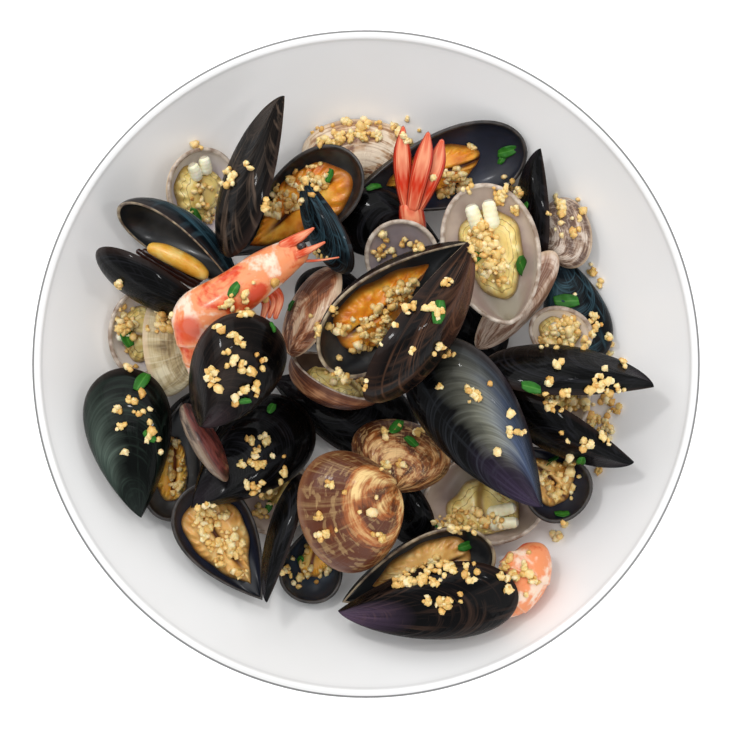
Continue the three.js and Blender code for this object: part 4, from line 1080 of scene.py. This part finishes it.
# %% Where things come to rest
def heap_tree():
    """A search tree over every face made so far, so that a ray can find the topmost surface."""
    points, faces, shift = [], [], 0
    for obj in scene.objects:
        if obj.type == "MESH" and obj.get("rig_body") and obj.name not in frame["nodes"] and obj.name != "floor":
            mesh = obj.data
            co = np.empty(len(mesh.vertices) * 3)
            mesh.vertices.foreach_get("co", co)
            points.append(co.reshape(-1, 3))
            faces += [[k + shift for k in face.vertices] for face in mesh.polygons]
            shift += len(mesh.vertices)
    return BVHTree.FromPolygons(np.vstack(points).tolist(), faces)


heap = heap_tree()
DROP_FROM = 0.2


def rest_at(x, y):
    """The place and the facing, in mm, of the topmost surface under a point of the plan."""
    place, normal, *_ = heap.ray_cast(Vector((x * MM, y * MM, DROP_FROM)), Vector((0, 0, -1)))
    return np.array(place) / MM, np.array(normal)

# %% Garlic grains
BALL_RINGS, BALL_SIDES = 5, 7
LUMPS = 0.19    # how much each of the three sines adds to a grain's radius


def grains_mesh(places, radii):
    """Each grain is a ball times its radius, times a share per direction: one plus three sines, squashed."""
    down = np.pi * np.arange(BALL_RINGS + 2) / (BALL_RINGS + 1)
    ball = turned(np.stack([np.sin(down), np.cos(down)], -1), BALL_SIDES)
    ball_faces = flipped(capped(BALL_RINGS, BALL_SIDES))
    n = len(places)
    waves = rng.normal(0, 2.2, (n, 3, 3))
    phase = rng.uniform(0, 2 * np.pi, (n, 3, 1))
    bumps = np.sin(waves @ ball.T + phase).sum(1)[..., None]
    squash = rng.uniform(0.8, 1.15, (n, 1, 3))
    points = places[:, None] + radii[:, None, None] * squash * ball * (1 + LUMPS * bumps)
    points[..., 2] = np.minimum(points[..., 2], HEAP_TOP)
    shift = np.arange(n) * len(ball)
    faces = [[k + s for k in face] for s in shift.tolist() for face in ball_faces]
    tone = np.repeat(rng.uniform(0, 1, n), len(ball))
    return points.reshape(-1, 3), faces, tone

# %% Where the garlic lies
# plan x, plan y, half length, half width, turn in degrees, large grains, loose grains, clumps
GARLIC = [
    (296, 190, 38, 18, 37, 5, 60, 12), (487, 256, 38, 16, -72, 7, 60, 12), (384, 318, 44, 17, 50, 6, 60, 12),
    (222, 540, 42, 18, -62, 5, 60, 13), (470, 522, 36, 12, 0, 3, 34, 7), (430, 572, 46, 11, 14, 3, 34, 9),
    (455, 182, 24, 16, 0, 3, 24, 6), (562, 400, 24, 12, 0, 2, 18, 5), (562, 478, 22, 18, 40, 3, 24, 6),
    (560, 334, 22, 13, 20, 3, 26, 5), (345, 130, 38, 11, 8, 3, 22, 9), (160, 322, 12, 16, 90, 2, 12, 4),
    (238, 372, 34, 34, 0, 3, 8, 10), (250, 300, 44, 14, 35, 1, 3, 5), (140, 432, 28, 42, 0, 3, 6, 5),
    (498, 420, 26, 44, 30, 2, 3, 4), (520, 574, 18, 26, 0, 2, 6, 5), (352, 512, 40, 36, 0, 2, 5, 5),
    (602, 400, 18, 34, 0, 3, 6, 8), (205, 200, 14, 22, 0, 0, 16, 4), (125, 325, 12, 26, 0, 0, 14, 5),
    (262, 465, 30, 28, 0, 0, 4, 8), (176, 468, 8, 30, 0, 0, 18, 4), (392, 246, 30, 14, 0, 0, 4, 6),
    (430, 290, 26, 24, 0, 0, 0, 5), (345, 380, 26, 10, -20, 0, 12, 5), (508, 195, 16, 20, 0, 0, 10, 6),
    (566, 215, 20, 24, 0, 0, 14, 5), (305, 568, 22, 22, 0, 0, 10, 5), (262, 500, 14, 22, 0, 0, 14, 3),
    (480, 590, 60, 16, 14, 0, 4, 8), (400, 450, 30, 30, 0, 0, 3, 4), (560, 350, 34, 16, 0, 0, 4, 3),
    (585, 300, 20, 40, 0, 0, 2, 4), (405, 130, 30, 14, 0, 0, 4, 5), (330, 330, 24, 34, 0, 0, 5, 4),
    (440, 355, 30, 20, 0, 0, 0, 3), (238, 170, 14, 40, 20, 0, 0, 3), (586, 430, 30, 24, 0, 0, 3, 5),
]
LONE_CLUMPS = [(595, 384), (604, 384), (592, 404), (619, 405), (616, 411), (607, 420), (596, 425), (599, 472),
               (612, 338), (609, 352), (624, 366), (592, 272), (599, 283), (564, 525), (559, 541), (197, 146),
               (121, 285), (130, 367), (473, 146), (320, 255), (228, 188), (440, 385), (598, 376), (549, 382)]

# %% The garlic falls
LARGE_RADII, LOOSE_RADII, CLUMP_RADII = (2.1, 1.6), (0.8, 1.45), (0.9, 1.7)
CLUMP_SPREAD = 1.05
CLUMP_SINK = (0.1, 0.6)    # share of a grain that is sunk below the surface
GOLDEN_ANGLE = np.pi * (3 - np.sqrt(5))


def in_patch(patch, out, angle):
    """A point of an ellipse: out is the share of the way to its edge."""
    px, py, long, wide, turn = patch
    u, v, t = long * out * np.cos(angle), wide * out * np.sin(angle), np.radians(turn)
    return on_plan(px + u * np.cos(t) + v * np.sin(t), py - u * np.sin(t) + v * np.cos(t))


def fallen(spot, radius, sink):
    """The middle of a grain that has come to rest with a share of itself below the surface."""
    place, normal = rest_at(*spot)
    return place + radius * (1 - sink) * (0.5 * normal + [0, 0, 0.5])


places, radii = [], []


def drop_grain(spot, radius, sink=0.5):
    """Lets one grain fall, but keeps its top under the top of the heap."""
    place = fallen(spot, radius, sink)
    place[2] = min(place[2], HEAP_TOP - 1.25 * radius)
    places.append(place)
    radii.append(radius)


def drop_clump(spot):
    """Three to six grains about one spot, each sunk by its own share."""
    for k in range(rng.integers(3, 7)):
        drop_grain(spot + rng.normal(0, CLUMP_SPREAD, 2), rng.uniform(*CLUMP_RADII), rng.uniform(*CLUMP_SINK))


for *patch, large, loose, clumps in GARLIC:
    for i in range(large):
        spot = in_patch(patch, np.sqrt((i + 0.5) / large), i * GOLDEN_ANGLE)
        drop_grain(spot, np.interp(i / large, (0, 1), LARGE_RADII), 0.6)
    for i in range(loose):
        drop_grain(in_patch(patch, np.sqrt(rng.uniform()), rng.uniform(0, 2 * np.pi)), rng.uniform(*LOOSE_RADII))
    for i in range(clumps):
        drop_clump(in_patch(patch, np.sqrt(rng.uniform()), rng.uniform(0, 2 * np.pi)))
for px, py in LONE_CLUMPS:
    drop_clump(on_plan(px, py))
grain_points, grain_faces, grain_tone = grains_mesh(np.array(places), np.array(radii))
print(len(places), "grains of garlic")

# %% Garlic finish
garlic, tree = new_finish("fried_garlic", 0.5, Subsurface_Weight=0.15, Subsurface_Scale=0.0015, Coat_Weight=0.2,
                          Coat_Roughness=0.3)
tone = add(tree, "Attribute", out="Fac", attribute_name="tone")
where = add(tree, "TexCoord", out="Object")
crust = add(tree, "TexNoise", {"Vector": where, "Scale": 700.0, "Detail": 3.0})
both = add(tree, "Mix", {0: 0.5, 2: tone, 3: crust})
gold = add(tree, "ValToRGB", [both], stops=[
    (0.2, "#d09a4a"), (0.4, "#e9bd6c"), (0.58, "#f5d38c"), (0.78, "#fce7b6")])
dressed(garlic, gold, relief=crust, strength=0.6, depth=0.4)
make_piece("garlic_grains", grain_points, grain_faces, [garlic], attributes={"tone": grain_tone})

# %% [markdown]
# ## Chopped greens
# Snips of a flat green leaf, five to ten mm long and cut straight at both ends. Each is a thin wavy solid, folded
# along its midrib, that leans on the surface under it.

# %% Where the leaves lie
# plan x, plan y, turn in degrees, length in mm
LEAVES = [(142, 382, 60, 9), (150, 436, -40, 6), (508, 150, 15, 8), (374, 188, 30, 7), (437, 313, 80, 9.7),
          (396, 428, 60, 8), (465, 546, 10, 7), (567, 301, 0, 10), (235, 291, 55, 6.8), (581, 460, 75, 6.4),
          (436, 525, 55, 6), (330, 176, 80, 6), (196, 216, 95, 8), (125, 335, 105, 10.5), (273, 328, 100, 4.6),
          (246, 400, 5, 5), (271, 409, 65, 5.8), (292, 306, 50, 5), (478, 255, 50, 7), (520, 265, -60, 10),
          (526, 207, 40, 5), (530, 387, -15, 8), (552, 463, 30, 7), (563, 515, 0, 6), (411, 442, -40, 6),
          (301, 561, 20, 6), (268, 508, 70, 5), (503, 158, 60, 4.6)]

# %% One leaf
LEAF_THICKNESS = 0.35
LEAF_GAP = 0.12
LEAF_STEPS = (12, 7)


def leaf_mesh(length, seed):
    """u along and v across, both -1 to 1. The sides bow out by one minus 0.45 u squared, the midrib is low, and
    a slow sine curls the ends."""
    phase = np.random.default_rng(seed).uniform(0, 2 * np.pi, 2)
    u, v = np.meshgrid(np.linspace(-1, 1, LEAF_STEPS[0]), np.linspace(-1, 1, LEAF_STEPS[1]), indexing="ij")
    x = length / 2 * (u + 0.12 * v * np.sin(phase[0]))
    y = 0.29 * length * v * (1 - 0.45 * u**2)
    z = length * (0.05 * np.abs(v) + 0.05 * np.sin(2.4 * u + phase[1]) + 0.015 * np.sin(7 * u + 3 * v))
    top = np.stack([x, y, z + LEAF_THICKNESS], -1).reshape(-1, 3)
    low = np.stack([x, y, z], -1).reshape(-1, 3)
    rows, columns = LEAF_STEPS
    grid = quads(rows, columns)
    edge = np.concatenate([np.arange(columns), columns * np.arange(1, rows) + columns - 1,
                           (rows - 1) * columns + np.arange(columns - 2, -1, -1),
                           columns * np.arange(rows - 2, 0, -1)])
    half = len(top)
    after = np.roll(edge, -1)
    rim = np.stack([edge, after, after + half, edge + half], -1)
    faces = grid[:, ::-1].tolist() + (grid + half).tolist() + rim.tolist()
    marks = np.stack([u.ravel(), np.abs(v).ravel(), 0 * u.ravel()], -1)
    return np.vstack([top, low]), faces, np.vstack([marks, marks])


def laid_leaf(px, py, turn, length, seed):
    """A leaf, turned on its spot, tilted to the surface under it and a little over it."""
    points, faces, marks = leaf_mesh(length, seed)
    place, normal = rest_at(*on_plan(px, py))
    lean = Vector((0, 0, 1)).rotation_difference(Vector(normal)).to_matrix()
    placed = points @ (np.array(lean) @ turned_to(np.radians(turn))).T + place + LEAF_GAP * normal
    return placed - [0, 0, max(0, placed[:, 2].max() - HEAP_TOP)], faces, marks


leaf_points, leaf_faces, leaf_marks = joined([laid_leaf(*leaf, seed=k) for k, leaf in enumerate(LEAVES)])

# %% Leaf finish
greens, tree = new_finish("snipped_green_leaf", 0.45, Subsurface_Weight=0.1, Subsurface_Scale=0.001,
                          Specular_IOR_Level=0.25)
where = add(tree, "TexCoord", out="Object")
cells = add(tree, "TexNoise", {"Vector": where, "Scale": 400.0})
away = add(tree, "Math", [numbers_of(tree, "leaf")[1], cells], operation="MULTIPLY")
green = add(tree, "ValToRGB", [away], stops=[(0.01, "#4f8c38"), (0.07, "#2f7420"), (0.6, "#1f5a14")])
dressed(greens, green)
make_piece("chopped_greens", leaf_points, leaf_faces, [greens], attributes={"leaf": leaf_marks})
print(len(LEAVES), "snips of leaf")
